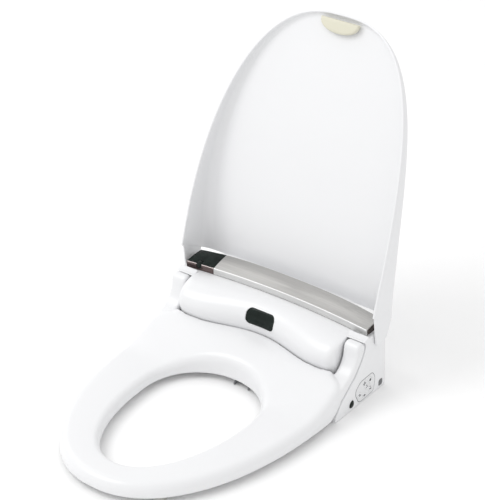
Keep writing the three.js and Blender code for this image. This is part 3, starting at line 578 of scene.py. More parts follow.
def seat_section(edge):
    """Across the seat from its outer edge to the opening, and back along a recessed underside."""
    outer, inner = Vector(edge), Vector(opening_towards(edge))
    width = (inner - outer).length
    beside = smooth((FASCIA_X + 9 - edge[0]) / 12) * smooth((edge[1] + 92) / 10)
    outer_round = 14 - 12.8 * beside
    inner_round = 11

    def place(inwards, drop=0.0, under=None):
        at = outer.lerp(inner, inwards / width)
        fall = 4 * (inwards / width) ** 2
        z = seat_bottom_z(at.y) + under if under is not None else seat_top_z(at.x, at.y) - fall - drop
        return (at.x, at.y, z)

    points = [place(0, under=0)]
    low, high = points[0][2], place(0, outer_round)[2]
    points += [(points[0][0], points[0][1], lerp(low, high, t)) for t in (0.33, 0.66)]
    for t in steps(8):
        a = math.pi / 2 * t
        points.append(place(outer_round * (1 - math.cos(a)), outer_round * (1 - math.sin(a))))
    for t in steps(12)[1:-1]:
        points.append(place(lerp(outer_round, width - inner_round, t)))
    for t in steps(8):
        a = math.pi / 2 * t
        points.append(place(width - inner_round * (1 - math.sin(a)), inner_round * (1 - math.cos(a))))
    last = place(width, under=0)
    points += [(last[0], last[1], lerp(points[-1][2], last[2], t)) for t in (0.5, 1)]
    points += [place(lerp(width, 0, t), under=0) for t in steps(8)[1:-1]]
    return points


ARM_OUTLINE = [
    (-119, 36),
    (-105, 49),
    (-82, 60),
    (-69, 66),
    (-59, 75),
    (-53, 87),
    *arc(SEAT_HINGE, ARM_END_RADIUS, 180, 0, 16),
    *CREASE[1:],
]
BELOW_CREASE = [*CREASE, (-119, -20), (60, -20), (60, SEAT_HINGE[1])]


def seat_cavity():
    """The room under the seat's skin, open downwards, clear of the arms."""
    sections = []
    for edge in seat_edge()[::3]:
        outer = Vector(edge)
        inner = Vector(opening_towards(edge))
        inwards = (inner - outer).normalized()
        outer += inwards * (SKIN + 0.6)
        inner -= inwards * SKIN
        if outer.y > -150:
            if outer.x > FASCIA_X - 20:
                outer.y = min(outer.y, -84)
            outer.x = min(outer.x, FASCIA_X - 5)
        low, high = [], []
        for t in steps(8):
            at = outer.lerp(inner, t)
            beside = 7 * (1 - (2 * abs(t - 0.5)) ** 3)
            ceiling = seat_top_z(at.x, at.y) - 4 * t * t - SKIN - 8 + beside
            low.append((at.x, at.y, seat_bottom_z(at.y) - 6))
            high.append((at.x, at.y, ceiling))
        sections.append(high + low[::-1])
    sections += [mirror_x(section) for section in reversed(sections[1:-1])]
    return tube_object("cavity", sections + sections[:1])


def seat_body():
    half = [seat_section(edge) for edge in seat_edge()]
    sections = half + [mirror_x(section) for section in reversed(half[1:-1])]
    ring = tube_object("seat_ring", sections + sections[:1])
    below = [slab_object("cut", BELOW_CREASE, (side * (FASCIA_X - 3.6), side * 205)) for side in (1, -1)]
    carve(ring, *below)
    outline = rounded(ARM_OUTLINE, 7)
    arms = [slab_object("arm", outline, (side * ARM_X[0], side * ARM_X[1]), 4.5) for side in (1, -1)]
    seat = fuse("seat_moulding", [ring, *arms], SEAT_VOXEL, SEAT_SMOOTHING)
    bores = []
    for side in (1, -1):
        start, end = (side * (ARM_X[0] - 3), *SEAT_HINGE), (side * SEAT_BORE_END_X, *SEAT_HINGE)
        bores.append(rod_object(HINGE_BORE_RADIUS, start, end))
    carve(seat, seat_cavity(), *bores)
    shade_smooth(seat, 50)
    return finish_piece(seat, WHITE, "white_gloss", "seat", "seat_shell")


# ---------------------------------------------------------------- lid, made closed and turned open


def along_lid(y):
    return (y - LID_TIP_Y) / LID_SPAN


def lid_rim_z(y):
    s = along_lid(y)
    return 47 + 13.5 * s - 60 * s * (1 - s)


def lid_top_z(y):
    return 58 + 76 * max(0, along_lid(y)) ** 2.55


def lid_round(y):
    return 9 + 15 * smooth(along_lid(y))


def lid_edge():
    """The lid's outer edge in plan, right half, from the rear to the tip."""
    turns = [90 - 6 * t for t in steps(8)] + [84 * (1 - t) for t in steps(90)[1:]]
    points = [superellipse(LID_HALF_WIDTH, LID_TIP_Y, LID_WIDEST_Y, LID_POWER, turn) for turn in turns]
    points = [Vector((min(x, LID_X), min(y, LID_REAR_Y))) for x, y in points]
    points[0].y = LID_REAR_Y
    return points


LID_EDGE = lid_edge()


def lid_section(k, offset):
    before, after = LID_EDGE[max(0, k - 1)], LID_EDGE[min(len(LID_EDGE) - 1, k + 1)]
    along = (after - before).normalized()
    inwards = Vector((along.y, -along.x))
    if k == len(LID_EDGE) - 1:
        inwards = Vector((0, 1))
    if k == 0:
        inwards = Vector((-1, 0))
    edge = LID_EDGE[k] + inwards * offset
    y0 = LID_EDGE[k].y
    spine = Vector((0, clamp(y0, LID_SPINE_FRONT_Y, LID_REAR_Y)))
    radius = lid_round(y0) - offset
    rise = lid_top_z(y0) - offset - radius

    def place(into, z):
        at = edge + inwards * into
        return (at.x, at.y, z)

    corner = []
    for t in steps(9):
        a = math.pi / 2 * t
        height = max(rise + radius * math.sin(a), lid_rim_z(y0) + 1)
        corner.append(place(LID_DRAFT + radius * (1 - math.cos(a)), height))
    start = Vector(corner[-1][:2])
    panel = []
    for t in steps(12)[1:]:
        at = start.lerp(spine, t)
        panel.append((at.x, at.y, lid_top_z(at.y) - offset + LID_CROWN * (1 - (1 - t) ** 2)))
    rim = place(0, lid_rim_z(y0))
    wall = [tuple(lerp(p, q, t) for p, q in zip(rim, corner[0])) for t in (0.33, 0.66)]
    return [rim, *wall, *corner, *panel]


LID_EAR_X = (LID_X - LID_WALL, LID_X)
LID_EAR = [
    (-46, 63),
    (-33, 67),
    *arc(LID_HINGE, 9.5, -62, 20, 14),
    (7, 113),
    (-3, 122.5),
    (-33, 120),
    (-37, 112),
    (-46, 104),
]


def open_lid(piece):
    """Turns a mesh drawn on the closed lid to the open rest pose."""
    hinge = Vector((0, LID_HINGE[0] * MM, LID_HINGE[1] * MM))
    turn = Matrix.Rotation(-LID_OPEN, 4, "X")
    piece.data.transform(Matrix.Translation(hinge) @ turn @ Matrix.Translation(-hinge))
    piece.data.update()
    return piece


def lid_profile(k, back=0.0, pinch=0.0):
    """Outside, rolled rim and inside of the lid across one station of its edge."""
    outside, inside = lid_section(k, 0), lid_section(k, LID_WALL)
    roll = 1.3
    level = outside[0][2]
    rim = []
    for t in steps(6):
        a = math.pi * t
        share = lerp((1 + math.cos(a)) / 2, 0.5, 2 * pinch)
        x, y = lerp(outside[0][0], inside[0][0], share), lerp(outside[0][1], inside[0][1], share)
        rim.append((x, y, level + roll * (1 - math.sin(a))))
    pairs = list(zip(outside[1:], inside[1:]))
    outer = [tuple(lerp(p, q, pinch) for p, q in zip(o, i)) for o, i in pairs]
    inner = [tuple(lerp(q, p, pinch) for p, q in zip(o, i)) for o, i in pairs]
    points = inner[::-1] + rim + outer
    return [(x, y + back, z) for x, y, z in points]


def lid_body():
    turns = [math.pi / 2 * t for t in steps(4)]
    rolled = [(-LID_REAR_ROLL + LID_REAR_ROLL * math.sin(a), 0.5 * (1 - math.cos(a))) for a in turns]
    half = [lid_profile(0, back, pinch) for back, pinch in reversed(rolled)]
    half += [lid_profile(k) for k in range(1, len(LID_EDGE))]
    columns = len(half[0])
    vertices = [point for row in half for point in row]
    vertices += mirror_x(vertices)
    count = len(half) * columns
    faces = grid_faces(len(half), columns) + grid_faces(len(half), columns, count, flip=True)
    lid = make_object("lid_moulding", vertices, faces)
    ear = rounded(LID_EAR, 4)
    ears = [slab_object("ear", ear, [side * x for x in LID_EAR_X], 0.8) for side in (1, -1)]
    unite(lid, *ears)
    bores = []
    for side in (1, -1):
        start, end = ((side * x, *LID_HINGE) for x in LID_BORE_X)
        bores.append(rod_object(HINGE_BORE_RADIUS, start, end))
    carve(lid, *bores)
    shade_smooth(lid, 35)
    open_lid(lid)
    return finish_piece(lid, WHITE, "white_gloss", "lid", "lid_shell")


def lid_pad():
    """Half-moon pad inside the lid's tip, softly crowned."""
    half_width, depth, thickness = 35, 19, 5
    back = LID_TIP_Y + LID_WALL + LID_DRAFT + 8
    level = lid_top_z(back) - LID_WALL - 9
    rings = []
    for into, lift in ((0, thickness + 1.4), (0, 3.2), (0.35, 1.9), (1.2, 0.9), (2.6, 0.25), (4.5, 0.0)):
        ring = []
        for t in steps(60):
            a = math.pi * t
            x = (half_width + 1.5 - into) * math.cos(a)
            y = back - 1.5 + into + (depth + 3 - 2 * into) * math.sin(a) ** 0.8
            ring.append((x, y, level - 1.5 + lift - 0.0007 * x * x + 0.01 * (y - back)))
        rings.append(ring)
    pad = tube_object("lid_half_moon_pad", rings, ends=True)
    shade_smooth(pad, 50)
    open_lid(pad)
    return finish_piece(pad, CREAM, "cream_pad", "lid", "lid_pad")


# ---------------------------------------------------------------- front cover: the fascia and two side covers


def fascia_column(x, back):
    """From under the trim bar, round the bulge, to the foot and on down behind the seat."""
    head = (trim_front_y(x) + 1, trim_front_z(x) - TRIM_LIP - 1)
    foot = (bulge(x), fascia_foot_z(x))
    over = (head[0] - 36 - 7 * (x / 130) ** 2, head[1] + 2.5)
    under = (foot[0] - 16, foot[1] + 33)
    curve = bezier(head, over, under, foot, 30)
    curve += [(foot[0] + 2, foot[1] - 10), (foot[0] + 3, 30.8)]
    return [(x, max(y, min(y + back, -15)), z) for y, z in curve]


def fascia_columns():
    corner = 14
    turns = [math.pi / 2 * t for t in steps(10)]
    ends = [(FASCIA_X, 34)]
    ends += [(FASCIA_X - corner * (1 - math.cos(a)), corner * (1 - math.sin(a))) for a in turns]
    middle = [(x, 0) for x in range(140, -1, -4)]
    right = ends + middle
    left = [(-x, back) for x, back in right]
    columns = left + [c for c in reversed(right) if c[0] > 0.5]
    return [fascia_column(x, back) for x, back in columns]


def thick_sheet(name, grid, thickness, outwards):
    """A grid of points as a sheet that faces one way and is thickened the other way."""
    rows, columns = len(grid), len(grid[0])
    sheet = make_object(name, [p for row in grid for p in row], grid_faces(rows, columns))
    total = sum((p.normal * p.area for p in sheet.data.polygons), Vector())
    if total.dot(Vector(outwards)) < 0:
        sheet.data.flip_normals()
    modifier(sheet, "SOLIDIFY", thickness=thickness * MM, offset=-1, use_even_offset=True)
    return apply_modifiers(sheet)


COVER_OUTLINE = [
    (UNIT_FRONT_Y, 0),
    (UNIT_FRONT_Y, 9),
    (-94.8, 28.5),
    (-74.8, 43.5),
    (-54.8, 58.5),
    (-37.3, 80.1),
    (-31.3, 91.9),
    *arc(SEAT_HINGE, ARM_END_RADIUS + 0.7, -5, 65, 10),
    (-27, 114),
    (-22, 116.5),
    (-19, DECK_Z),
    (COVER_REAR_Y - 3, DECK_Z),
    (COVER_REAR_Y, DECK_Z - 4),
    (COVER_REAR_Y, 92),
    (COVER_REAR_Y + 4, 12),
    (COVER_REAR_Y + 4, 0),
]

KEYPAD_TURN = math.radians(-48)
KEYPAD_OUTLINE = [
    (1, 30),
    (-7, 43),
    (-42, 42),
    (-55, 32),
    (-56, 22),
    (-47, 5),
    (-40, 2.6),
    (-5, 4),
    (-1, 14),
]
KEYS = {
    "stop_button": (-14, 31, 15, 8.5),
    "rear_wash_button": (-30.5, 34, 9, 8.5),
    "front_wash_button": (-24.5, 24, 9, 8.5),
    "nozzle_clean_button": (-14.5, 15, 9, 8.5),
    "dryer_button": (-44.5, 18, 9, 8.5),
    "deodorise_button": (-31, 10.5, 9, 8.5),
}
SIDE_SENSOR = (-67, 12)
RELEASE = (17, 10)
FILTER = ((-36, 6), (16, 48))
SENSOR_FACE = dict(z=92.7, width=56, height=26, radius=9)


def key_outline(key, margin, radius=2.0):
    y, z, length, width = key
    flat = rounded_rectangle(length + 2 * margin, width + 2 * margin, radius + margin)
    return [turned_on_keypad(key, a, b) for a, b in flat]


def turned_on_keypad(key, a, b):
    c, s = math.cos(KEYPAD_TURN), math.sin(KEYPAD_TURN)
    return (key[0] + a * c - b * s, key[1] + a * s + b * c)


def shifted(outline, centre):
    return [(u + centre[0], v + centre[1]) for u, v in outline]


def sensor_prism(margin):
    face = SENSOR_FACE
    flat = rounded_rectangle(face["width"] + 2 * margin, face["height"] + 2 * margin, face["radius"] + margin)
    return slab_object("sensor", shifted(flat, (0, face["z"])), (-75, -35), axis="y")


NOZZLE_TURN = math.radians(24)
NOZZLE_OUT = Vector((0, -math.cos(NOZZLE_TURN), -math.sin(NOZZLE_TURN)))
NOZZLE_UP = Vector((0, -math.sin(NOZZLE_TURN), math.cos(NOZZLE_TURN)))


def nozzle_point(out, across=0, above=0):
    return Vector((11 + across, -103, 2)) + NOZZLE_OUT * out + NOZZLE_UP * above


def nozzle_box(out, across, above):
    flat = [(out[0], above[0]), (out[1], above[0]), (out[1], above[1]), (out[0], above[1])]
    return tube_object("box", [[tuple(nozzle_point(u, x, v)) for u, v in flat] for x in across], ends=True)


def fascia_grid(shift=(0, 0)):
    return [[(x, y + shift[0], z + shift[1]) for x, y, z in column] for column in fascia_columns()]


def front_cover():
    """The fascia and the two side covers, three pieces that share one CAD node and meet without a join."""
    fascia = thick_sheet("fascia_moulding", fascia_grid(), 2.5, (0, -1, 0))
    carve(fascia, sensor_prism(0.3), nozzle_box((-80, -20), (-12.6, 12.6), (-14, 10.4)))
    outside = (COVER_X - COVER_WALL - 1, COVER_X + 1)
    holes = {
        1: [
            slab_object("keypad", inset(rounded(KEYPAD_OUTLINE, 6), -0.3), outside),
            rod_object(7.7, (outside[0], *SIDE_SENSOR), (outside[1], *SIDE_SENSOR)),
            slab_object("release", shifted(rounded_rectangle(11.6, 12.6, 4), RELEASE), outside),
        ],
        -1: [box_object((-COVER_X - 1, -COVER_X + COVER_WALL + 1), (-36.3, 6.3), (15.7, 48.3))],
    }
    pieces = [fascia]
    for side, word in ((1, "right"), (-1, "left")):
        span = (side * (FASCIA_X - 3), side * COVER_X)
        cover = slab_object("side_cover_" + word, COVER_OUTLINE, span, 1.2)
        hollow_x = (side * (FASCIA_X - 10), side * (COVER_X - COVER_WALL))
        hollow = slab_object("hollow", inset(COVER_OUTLINE, COVER_WALL), hollow_x)
        boss = rod_object(8.6, (side * 183.4, *LID_HINGE), (side * (COVER_X + 1), *LID_HINGE))
        carve(cover, hollow, boss, *holes[side])
        pieces.append(cover)
    for piece in pieces:
        shade_smooth(piece, 32)
        finish_piece(piece, WHITE, "white_gloss", "unit", "front_cover")


def fascia_y(x, z):
    """Where the fascia's outside is, at a place on its face."""
    column = fascia_column(x, 0)
    for (_, y0, z0), (_, y1, z1) in zip(column, column[1:]):
        if min(z0, z1) <= z <= max(z0, z1):
            return lerp(y0, y1, (z - z0) / (z1 - z0))
    return column[-1][1]


def sensor_window():
    window = thick_sheet("sensor_lens", fascia_grid((0.5, -0.2)), 2.2, (0, -1, 0))
    combine(window, [sensor_prism(0)], "INTERSECT")
    shade_smooth(window, 40)
    soften_edges(window, 0.35)
    finish_piece(window, WINDOW, "dark_window", "unit", "sensor_window")

    face = SENSOR_FACE
    profile = [(0.5, -0.5), (0.5, 0.25), (0.8, 0.5), (1.5, 0.55), (2.1, 0.35), (2.5, -0.05), (2.5, -0.5)]
    rings = []
    for margin, proud in profile:
        flat = rounded_rectangle(
            face["width"] + 2 * margin, face["height"] + 2 * margin, face["radius"] + margin, 10
        )
        rings.append([(x, fascia_y(x, face["z"] + up) - proud, face["z"] + up) for x, up in flat])
    bezel = tube_object("sensor_bezel", rings + rings[:1])
    shade_smooth(bezel, 60)
    finish_piece(bezel, WHITE, "white_gloss", "unit")


# ---------------------------------------------------------------- keypad, side sensor and release button

PLATE_TOP = COVER_X + 0.3
KEY_TOP = COVER_X + 0.9
CAP_PROFILE = [(0, COVER_X - 4.2), (0, KEY_TOP - 0.75), (-0.12, KEY_TOP - 0.4), (-0.45, KEY_TOP - 0.12)]


def mark(outline, lift=0.09):
    return slab_object("mark", outline, (KEY_TOP - 0.4, KEY_TOP + lift))


def disc(key, a, b, radius):
    return mark(shifted(arc((0, 0), radius, 0, 337.5, 15), turned_on_keypad(key, a, b)))


def bar(key, a, b, length, width, turn=0.0):
    c, s = math.cos(math.radians(turn)), math.sin(math.radians(turn))
    flat = rounded_rectangle(length, width, min(length, width, 2.4) * 0.4, 4)
    return mark([turned_on_keypad(key, a + u * c - v * s, b + u * s + v * c) for u, v in flat])


def key_marks(name, key):
    """A plain pictogram for each key: dots and bars only."""
    if name == "stop_button":
        return [bar(key, -1.5, 0, 4.6, 4.6)]
    if name == "rear_wash_button":
        spray = [bar(key, a, 0.3, 3.6, 1.2, turn) for a, turn in ((-2.0, 112), (0, 90), (2.0, 68))]
        return [bar(key, 0, -2.9, 5.6, 1.4), *spray]
    if name == "front_wash_button":
        return [disc(key, a, b, 1.25) for a, b in ((-2.1, 1.4), (2.1, 1.4), (0, -1.7))]
    if name == "nozzle_clean_button":
        return [bar(key, 0.6, 0, 6.0, 2.0, 40), disc(key, -2.9, 2.2, 1.0)]
    if name == "dryer_button":
        return [bar(key, a, 0, 5.0, 1.1, 62) for a in (-2.2, 0, 2.2)]
    return [disc(key, 0, 0, 1.9), disc(key, 2.9, 2.1, 0.8), disc(key, -2.9, -2.1, 0.8)]


KEY_BODIES = {
    "stop_button": "stop_key",
    "rear_wash_button": "rear_wash_key",
    "front_wash_button": "front_wash_key",
    "nozzle_clean_button": "nozzle_clean_key",
    "dryer_button": "dryer_key",
    "deodorise_button": "deodorise_key",
}


def keypad():
    outline = rounded(KEYPAD_OUTLINE, 6)
    plate = slab_object("keypad_face", inset(outline, 1.1), (COVER_X - COVER_WALL, PLATE_TOP), 0.25)
    through = (COVER_X - 5, COVER_X + 2)
    holes = [slab_object("hole", key_outline(key, 0.3), through) for key in KEYS.values()]
    carve(plate, *holes)
    shade_smooth(plate, 40)
    finish_piece(plate, WHITE_MATT, "white_matt", "unit", "keypad_plate")

    # Painted shade: a grey ring round the plate widens the shade line of the seam between keypad and cover.
    rim = slab_object("keypad_painted_seam_shade", outline, (COVER_X - 2, PLATE_TOP - 0.1), 0.2)
    carve(rim, slab_object("hole", inset(outline, 1.0), through))
    finish_piece(rim, GREY, "grey_plastic", "unit")

    for name, key in KEYS.items():
        rings = [[(at, y, z) for y, z in key_outline(key, margin)] for margin, at in CAP_PROFILE]
        rings.append([(KEY_TOP, y, z) for y, z in key_outline(key, -1.0, 2.2)])
        cap = tube_object(name + "_cap", rings, ends=True)
        cap_faces = len(cap.data.polygons)
        cap = merge(name + "_cap", [cap, *key_marks(name, key)])
        paint(cap, WHITE, MARK)
        for polygon in cap.data.polygons[cap_faces:]:
            polygon.material_index = 1
        shade_smooth(cap, 35)
        finish_piece(cap, WHITE, "white_gloss", KEY_BODIES[name], name)


def egg(radius, count=56):
    """An egg-shaped outline in (y, z) round the side sensor, with its point up."""
    points = []
    for i in range(count):
        a = 2 * math.pi * i / count
        reach = radius * (1 + 0.2 * max(0, math.cos(a)) ** 3)
        lean = a + math.radians(80)
        points.append((SIDE_SENSOR[0] + reach * math.cos(lean), SIDE_SENSOR[1] + reach * math.sin(lean)))
    return points


def egg_rings(profile):
    return [[(COVER_X + out, y, z) for y, z in egg(radius)] for radius, out in profile]


def side_sensor():
    turns = [math.radians(t) for t in range(10, 90, 8)]
    dome = [(6.2, -2.5), (6.2, 0.5)]
    dome += [(6.2 * math.cos(a), 0.5 + 2.4 * math.sin(a)) for a in turns]
    lens = tube_object("side_sensor_lens", egg_rings(dome), ends=True)
    shade_smooth(lens, 60)
    finish_piece(lens, WINDOW, "dark_window", "unit", "side_sensor_window")
    rings = egg_rings([(6.3, -1), (6.3, 0.6), (6.8, 0.95), (7.4, 0.75), (7.6, 0.2), (7.6, -1)])
    bezel = tube_object("side_sensor_bezel", rings + rings[:1])
    shade_smooth(bezel, 60)
    finish_piece(bezel, WHITE, "white_gloss", "unit")


def release_button():
    outline = shifted(rounded_rectangle(11, 12, 3.6), RELEASE)
    button = slab_object("release_key", outline, (COVER_X - 9, COVER_X + 0.1), 0.5)
    ribs = []
    for i in range(5):
        z = RELEASE[1] - 4 + 2 * i
        reach = 4.4 if abs(i - 2) < 2 else 3.2
        bar_outline = [(RELEASE[0] - reach, z - 0.5), (RELEASE[0] + reach, z - 0.5)]
        bar_outline += [(RELEASE[0] + reach, z + 0.5), (RELEASE[0] - reach, z + 0.5)]
        ribs.append(slab_object("rib", bar_outline, (COVER_X - 1, COVER_X + 0.6), 0.2))
    unite(button, *ribs)
    shade_smooth(button, 30)
    finish_piece(button, GREY, "grey_plastic", "release_key", "release_button")


# ---------------------------------------------------------------- trim bar, display window and carrier


def trim_column(x):
    """The bar's outside across its width: lip, small chamfer that carries a painted highlight, and a top that
    is softly crowned.
    """
    front = (trim_front_y(x), trim_front_z(x))
    rear = (TRIM_REAR_Y, trim_rear_z(x))
    points = [(front[0], front[1] - TRIM_LIP + (TRIM_LIP - 1.2) * t) for t in steps(8)]
    points += [(front[0] + 0.15, front[1] - 0.6), (front[0] + 0.4, front[1] - 0.2)]
    for t in steps(16):
        start = front[0] + 0.9
        y = lerp(start, rear[0], t)
        points.append((y, lerp(front[1], rear[1], t) + 4 * t * (1 - t)))
    return [(x, y, z) for y, z in points]


def trim_sheet(name, low, high, count):
    grid = [trim_column(lerp(low, high, t)) for t in steps(count)]
    return thick_sheet(name, grid, TRIM_THICKNESS, (0, -1, 1))


def paint_trim_highlight_and_reflection(piece, top, edge, lip):
    paint(piece, top, edge, lip)
    for polygon in piece.data.polygons:
        x, y, z = (c / MM for c in polygon.center)
        below = trim_front_z(x) - z
        ahead = y - trim_front_y(x)
        # Index 1 paints a highlight on the front chamfer; index 2 paints a reflection on the lip face.
        if ahead < 0.95 and -0.1 < below < 1.35:
            polygon.material_index = 1
        elif ahead < TRIM_THICKNESS + 0.2 and below > 1.2:
            polygon.material_index = 2


LENS = (-158, 122.6)


def trim_bar():
    plate = trim_sheet("brushed_top_plate", WINDOW_X + 0.2, TRIM_X, 64)
    paint_trim_highlight_and_reflection(plate, BAR, EDGE_PAINTED_HIGHLIGHT, LIP_PAINTED_REFLECTION)
    shade_smooth(plate, 45)
    finish_piece(plate, BAR, "brushed_bar", "unit", "top_trim_plate")

    window = trim_sheet("display_glass", -TRIM_X, WINDOW_X - 0.2, 20)
    hole = rod_object(5.5, (LENS[0], -24, LENS[1]), (LENS[0], -6, LENS[1]))
    carve(window, hole)
    paint_trim_highlight_and_reflection(window, WINDOW, WINDOW_EDGE_PAINTED_HIGHLIGHT, WINDOW_LIP_PAINTED_REFLECTION)
    shade_smooth(window, 45)
    finish_piece(window, WINDOW, "dark_window", "unit", "display_window")

    profile = [(0, 5.2), (7.2, 5.2), (7.7, 4.95), (8.0, 4.5), (8.35, 3.0), (8.55, 1.5), (8.6, 0.3)]
    button = lathe_object("power_key", profile, (LENS[0], -8.2, LENS[1]), (0, -1, 0))
    shade_smooth(button, 40)
    finish_piece(button, WINDOW, "dark_window", "power_key", "power_button")


# ---------------------------------------------------------------- rear cover, fittings, filter, nozzle tip


def rear_cover():
    grid = []
    for i in range(-60, 61):
        t = math.sin(math.pi / 2 * i / 60)
        outline = arc(LID_HINGE, REAR_RADIUS, 58 - 21 * t**6, 0, 28)
        outline += [(LID_HINGE[0] + REAR_RADIUS - 0.5 * u, lerp(101, 60, u)) for u in steps(6)[1:]]
        outline += [(LID_HINGE[0] + REAR_RADIUS - 0.5 - 2.5 * u, lerp(60, 0.5, u)) for u in steps(8)[1:]]
        grid.append([(t * REAR_X, y - 15 * t**6, z) for y, z in outline])
    cover = thick_sheet("rear_cover_moulding", grid, COVER_WALL, (0, 1, 0.2))
    holes = [
        rod_object(radius, (x, COVER_REAR_Y - 7, z), (x, COVER_REAR_Y + 33, z))
        for radius, (x, z) in ((9.3, INLET), (8.3, CORD_EXIT))
    ]
    carve(cover, *holes)
    shade_smooth(cover, 35)
    soften_edges(cover, 0.5, angle=50)
    finish_piece(cover, WHITE, "white_gloss", "unit", "rear_cover")


def fittings():
    threads = [(0, 7.4), (1.0, 7.5)]
    for i in range(9):
        threads += [(7 + 2.2 * i, 8.3), (7.9 + 2.2 * i, 9.0), (8.4 + 2.2 * i, 9.0), (9.2 + 2.2 * i, 8.3)]
    profile = threads + [(28.2, 7.5), (29.4, 7.5), (30, 6.9)]
    (x, z), back = INLET, (0, 1, 0)
    inlet = lathe_object("water_inlet_fitting", profile, (x, 26, z), back)
    nut = lathe_object("nut", [(0, 11.4), (0.6, 12), (5.4, 12), (6, 11.4)], (x, 26, z), back, 6)
    unite(inlet, nut)
    carve(inlet, rod_object(4.5, (x, 34, z), (x, 58, z)))
    shade_smooth(inlet, 30)
    finish_piece(inlet, BRASS, "brass_fitting", "unit", "water_inlet")

    profile = [(0, 10.1), (0.4, 10.5), (4, 10.5), (4.5, 10.1), (4.6, 8)]
    for i in range(4):
        start = 5.4 + 3.2 * i
        profile += [(start, 7.9 - 0.4 * i), (start + 1.9, 7.7 - 0.4 * i), (start + 2.1, 6.6 - 0.4 * i)]
        profile += [(start + 2.9, 6.5 - 0.4 * i)]
    profile += [(18.4, 6.2), (19, 5.6)]
    gland = lathe_object("cord_strain_relief", profile, (CORD_EXIT[0], 30, CORD_EXIT[1]), back)
    shade_smooth(gland, 30)
    finish_piece(gland, BLACK_RUBBER, "black_rubber", "unit", "cord_gland")


def filter_drawer():
    (y0, y1), (z0, z1) = FILTER
    centre = ((y0 + y1) / 2, (z0 + z1) / 2)
    front = shifted(rounded_rectangle(42, 32, 2.5), centre)
    face = slab_object("filter_drawer", front, (-191.5, -189.1), 0.6)
    block = [(y0 + 3, z0 + 3), (y1 - 3, z0 + 3), (y1 - 3, z1 - 3), (y0 + 3, z1 - 3)]
    unite(face, slab_object("block", block, (-189.3, -167.3), 0.8))
    grip = shifted(rounded_rectangle(18, 7, 3), (centre[0], centre[1] + 9))
    slots = [slab_object("grip", grip, (-192, -190.1))]
    for i in range(4):
        slots.append(box_object((-192, -190.4), (y0 + 8, y1 - 8), (z0 + 5 + 3.4 * i, z0 + 6.6 + 3.4 * i)))
    carve(face, *slots)
    shade_smooth(face, 30)
    finish_piece(face, WHITE_MATT, "white_matt", "filter", "deodoriser_filter")


def nozzle_tip():
    rest = -14
    profile = [(0, 6.2), (22, 6.2), (24, 5.9), (25.2, 5.1), (25.8, 3.9), (26, 2.2)]
    tip = lathe_object("nozzle_spray_tip", profile, tuple(nozzle_point(rest - 26)), tuple(NOZZLE_OUT))
    carve(tip, nozzle_box((rest - 20, rest + 2), (-7, 7), (5.2, 8)))
    holes = []
    for out, across in ((-12, -1.6), (-12, 1.6), (-15, 0), (-8.5, 0), (-5, -1.2), (-5, 1.2)):
        low, high = nozzle_point(rest + out, across, 3.6), nozzle_point(rest + out, across, 6)
        holes.append(rod_object(0.55, tuple(low), tuple(high), 16))
    carve(tip, *holes)
    shade_smooth(tip, 35)
    finish_piece(tip, WHITE, "white_gloss", "nozzle", "nozzle_tip")


# ---------------------------------------------------------------- CAD nodes that keep their shape

KEPT = {
    WHITE_MATT: {
        "base_chassis": 0.5,
        "seat_base_plate": 0.2,
        "nozzle_wand": 0.2,
        "inlet_valve": 0.6,
        "lid_hinge_boss_right": 0.4,
        "lid_hinge_boss_left": 0.4,
    },
    GREY: {
        "mounting_plate": 0.5,
        "drain_plug": 0.6,
        "seat_damper": 0.8,
        "lid_damper": 0.8,
        "nozzle_housing": 0.3,
        "water_pump": 0.8,
        "fan_rotor": 0.15,
        "dryer_duct": 0.6,
    },
    STEEL: {
        "seat_hinge_pin_right": 0.4,
        "seat_hinge_pin_left": 0.4,
        "lid_hinge_pin_right": 0.4,
        "lid_hinge_pin_left": 0.4,
        "nozzle_motor": 0.6,
    },
    BLACK: {"heater_tank": 1.0, "fan_housing": 0.5},
    BROWN: {"trim_carrier": 0.5},
    BOARD: {"control_board": 0.15, "keypad_board": 0.15},
    COPPER: {"seat_heater": 0.2},
    RUBBER: {
        "nozzle_drive_wheel": 0.4,
        "seat_bumper_front_right": 1.2,
        "seat_bumper_front_left": 1.2,
        "seat_bumper_rear_right": 1.2,
        "seat_bumper_rear_left": 1.2,
    },
}


def dress_kept_nodes():
    for material, nodes in KEPT.items():
        for name, width in nodes.items():
            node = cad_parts[name]
            if not node.material_slots:
                node.data.materials.append(material)
            for place in node.material_slots:
                place.material = material
            soften_edges(node, width)


# ---------------------------------------------------------------- camera, floor and light

CAMERA_AIM = Vector((-0.0021, -0.0971, 0.2440))
CAMERA_AZIMUTH = math.radians(37.606)
CAMERA_ELEVATION = math.radians(30.014)
CAMERA_DISTANCE = 2.7718
CAMERA_ROLL = math.radians(-0.442)
CAMERA_LENS = 126.64
WORLD_STRENGTH = 0.93
KEY_POWER = 27
FILL_POWER = 6
FLOOR_REACH = 12000
FLOOR_Z = -0.4


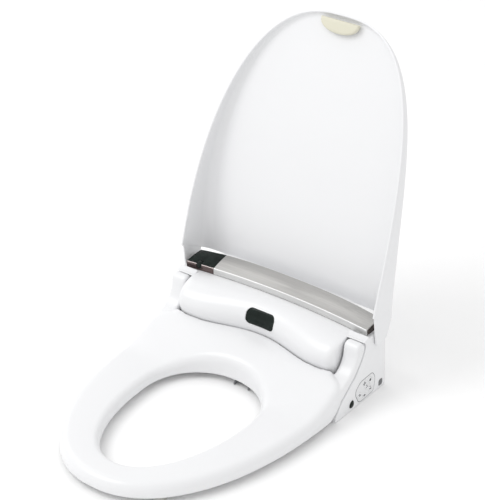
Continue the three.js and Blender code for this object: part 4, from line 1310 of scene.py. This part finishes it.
def add_camera():
    flat = math.cos(CAMERA_ELEVATION)
    x, y = math.sin(CAMERA_AZIMUTH) * flat, -math.cos(CAMERA_AZIMUTH) * flat
    towards = Vector((x, y, math.sin(CAMERA_ELEVATION)))
    data = bpy.data.cameras.new("camera")
    data.sensor_width = 36
    data.lens = CAMERA_LENS
    data.clip_start = 0.05
    data.clip_end = 60
    camera = bpy.data.objects.new("camera", data)
    bpy.context.scene.collection.objects.link(camera)
    aimed = towards.to_track_quat("Z", "Y").to_matrix().to_4x4()
    place = Matrix.Translation(CAMERA_AIM + towards * CAMERA_DISTANCE)
    camera.matrix_world = place @ aimed @ Matrix.Rotation(CAMERA_ROLL, 4, "Z")
    bpy.context.scene.camera = camera


def add_light(name, place, aim, size, power):
    data = bpy.data.lights.new(name, "AREA")
    data.shape = "DISK"
    data.size = size
    data.energy = power
    light = bpy.data.objects.new(name, data)
    bpy.context.scene.collection.objects.link(light)
    light.location = place
    light.rotation_euler = (Vector(place) - Vector(aim)).to_track_quat("Z", "Y").to_euler()


def add_studio():
    world = bpy.data.worlds.new("studio")
    world.use_nodes = True
    background = world.node_tree.nodes["Background"]
    background.inputs["Color"].default_value = (1, 1, 1, 1)
    background.inputs["Strength"].default_value = WORLD_STRENGTH
    bpy.context.scene.world = world
    bpy.context.scene.view_settings.view_transform = "Standard"
    add_light("key", (-1.3, -1.5, 2.6), (0, -0.15, 0.15), 1.8, KEY_POWER)
    add_light("fill", (-2.2, 0.6, 1.8), (0, -0.1, 0.15), 1.6, FILL_POWER)

    material, nodes, links, shader = new_material("studio_floor")
    mottle = noise(nodes, links, 3, detail=2)
    links.new(ramp(nodes, links, mottle, [(0.3, grey(0.95)), (0.7, grey(0.96))]), shader.inputs["Base Color"])
    shader.inputs["Roughness"].default_value = 0.9
    corners = [(x * FLOOR_REACH, y * FLOOR_REACH, FLOOR_Z) for x, y in ((-1, -1), (1, -1), (1, 1), (-1, 1))]
    floor = make_object("floor", corners, [(0, 1, 2, 3)])
    paint(floor, material)


add_camera()
add_studio()
seat_body()
lid_body()
lid_pad()
front_cover()
sensor_window()
keypad()
side_sensor()
release_button()
trim_bar()
rear_cover()
fittings()
filter_drawer()
nozzle_tip()
dress_kept_nodes()
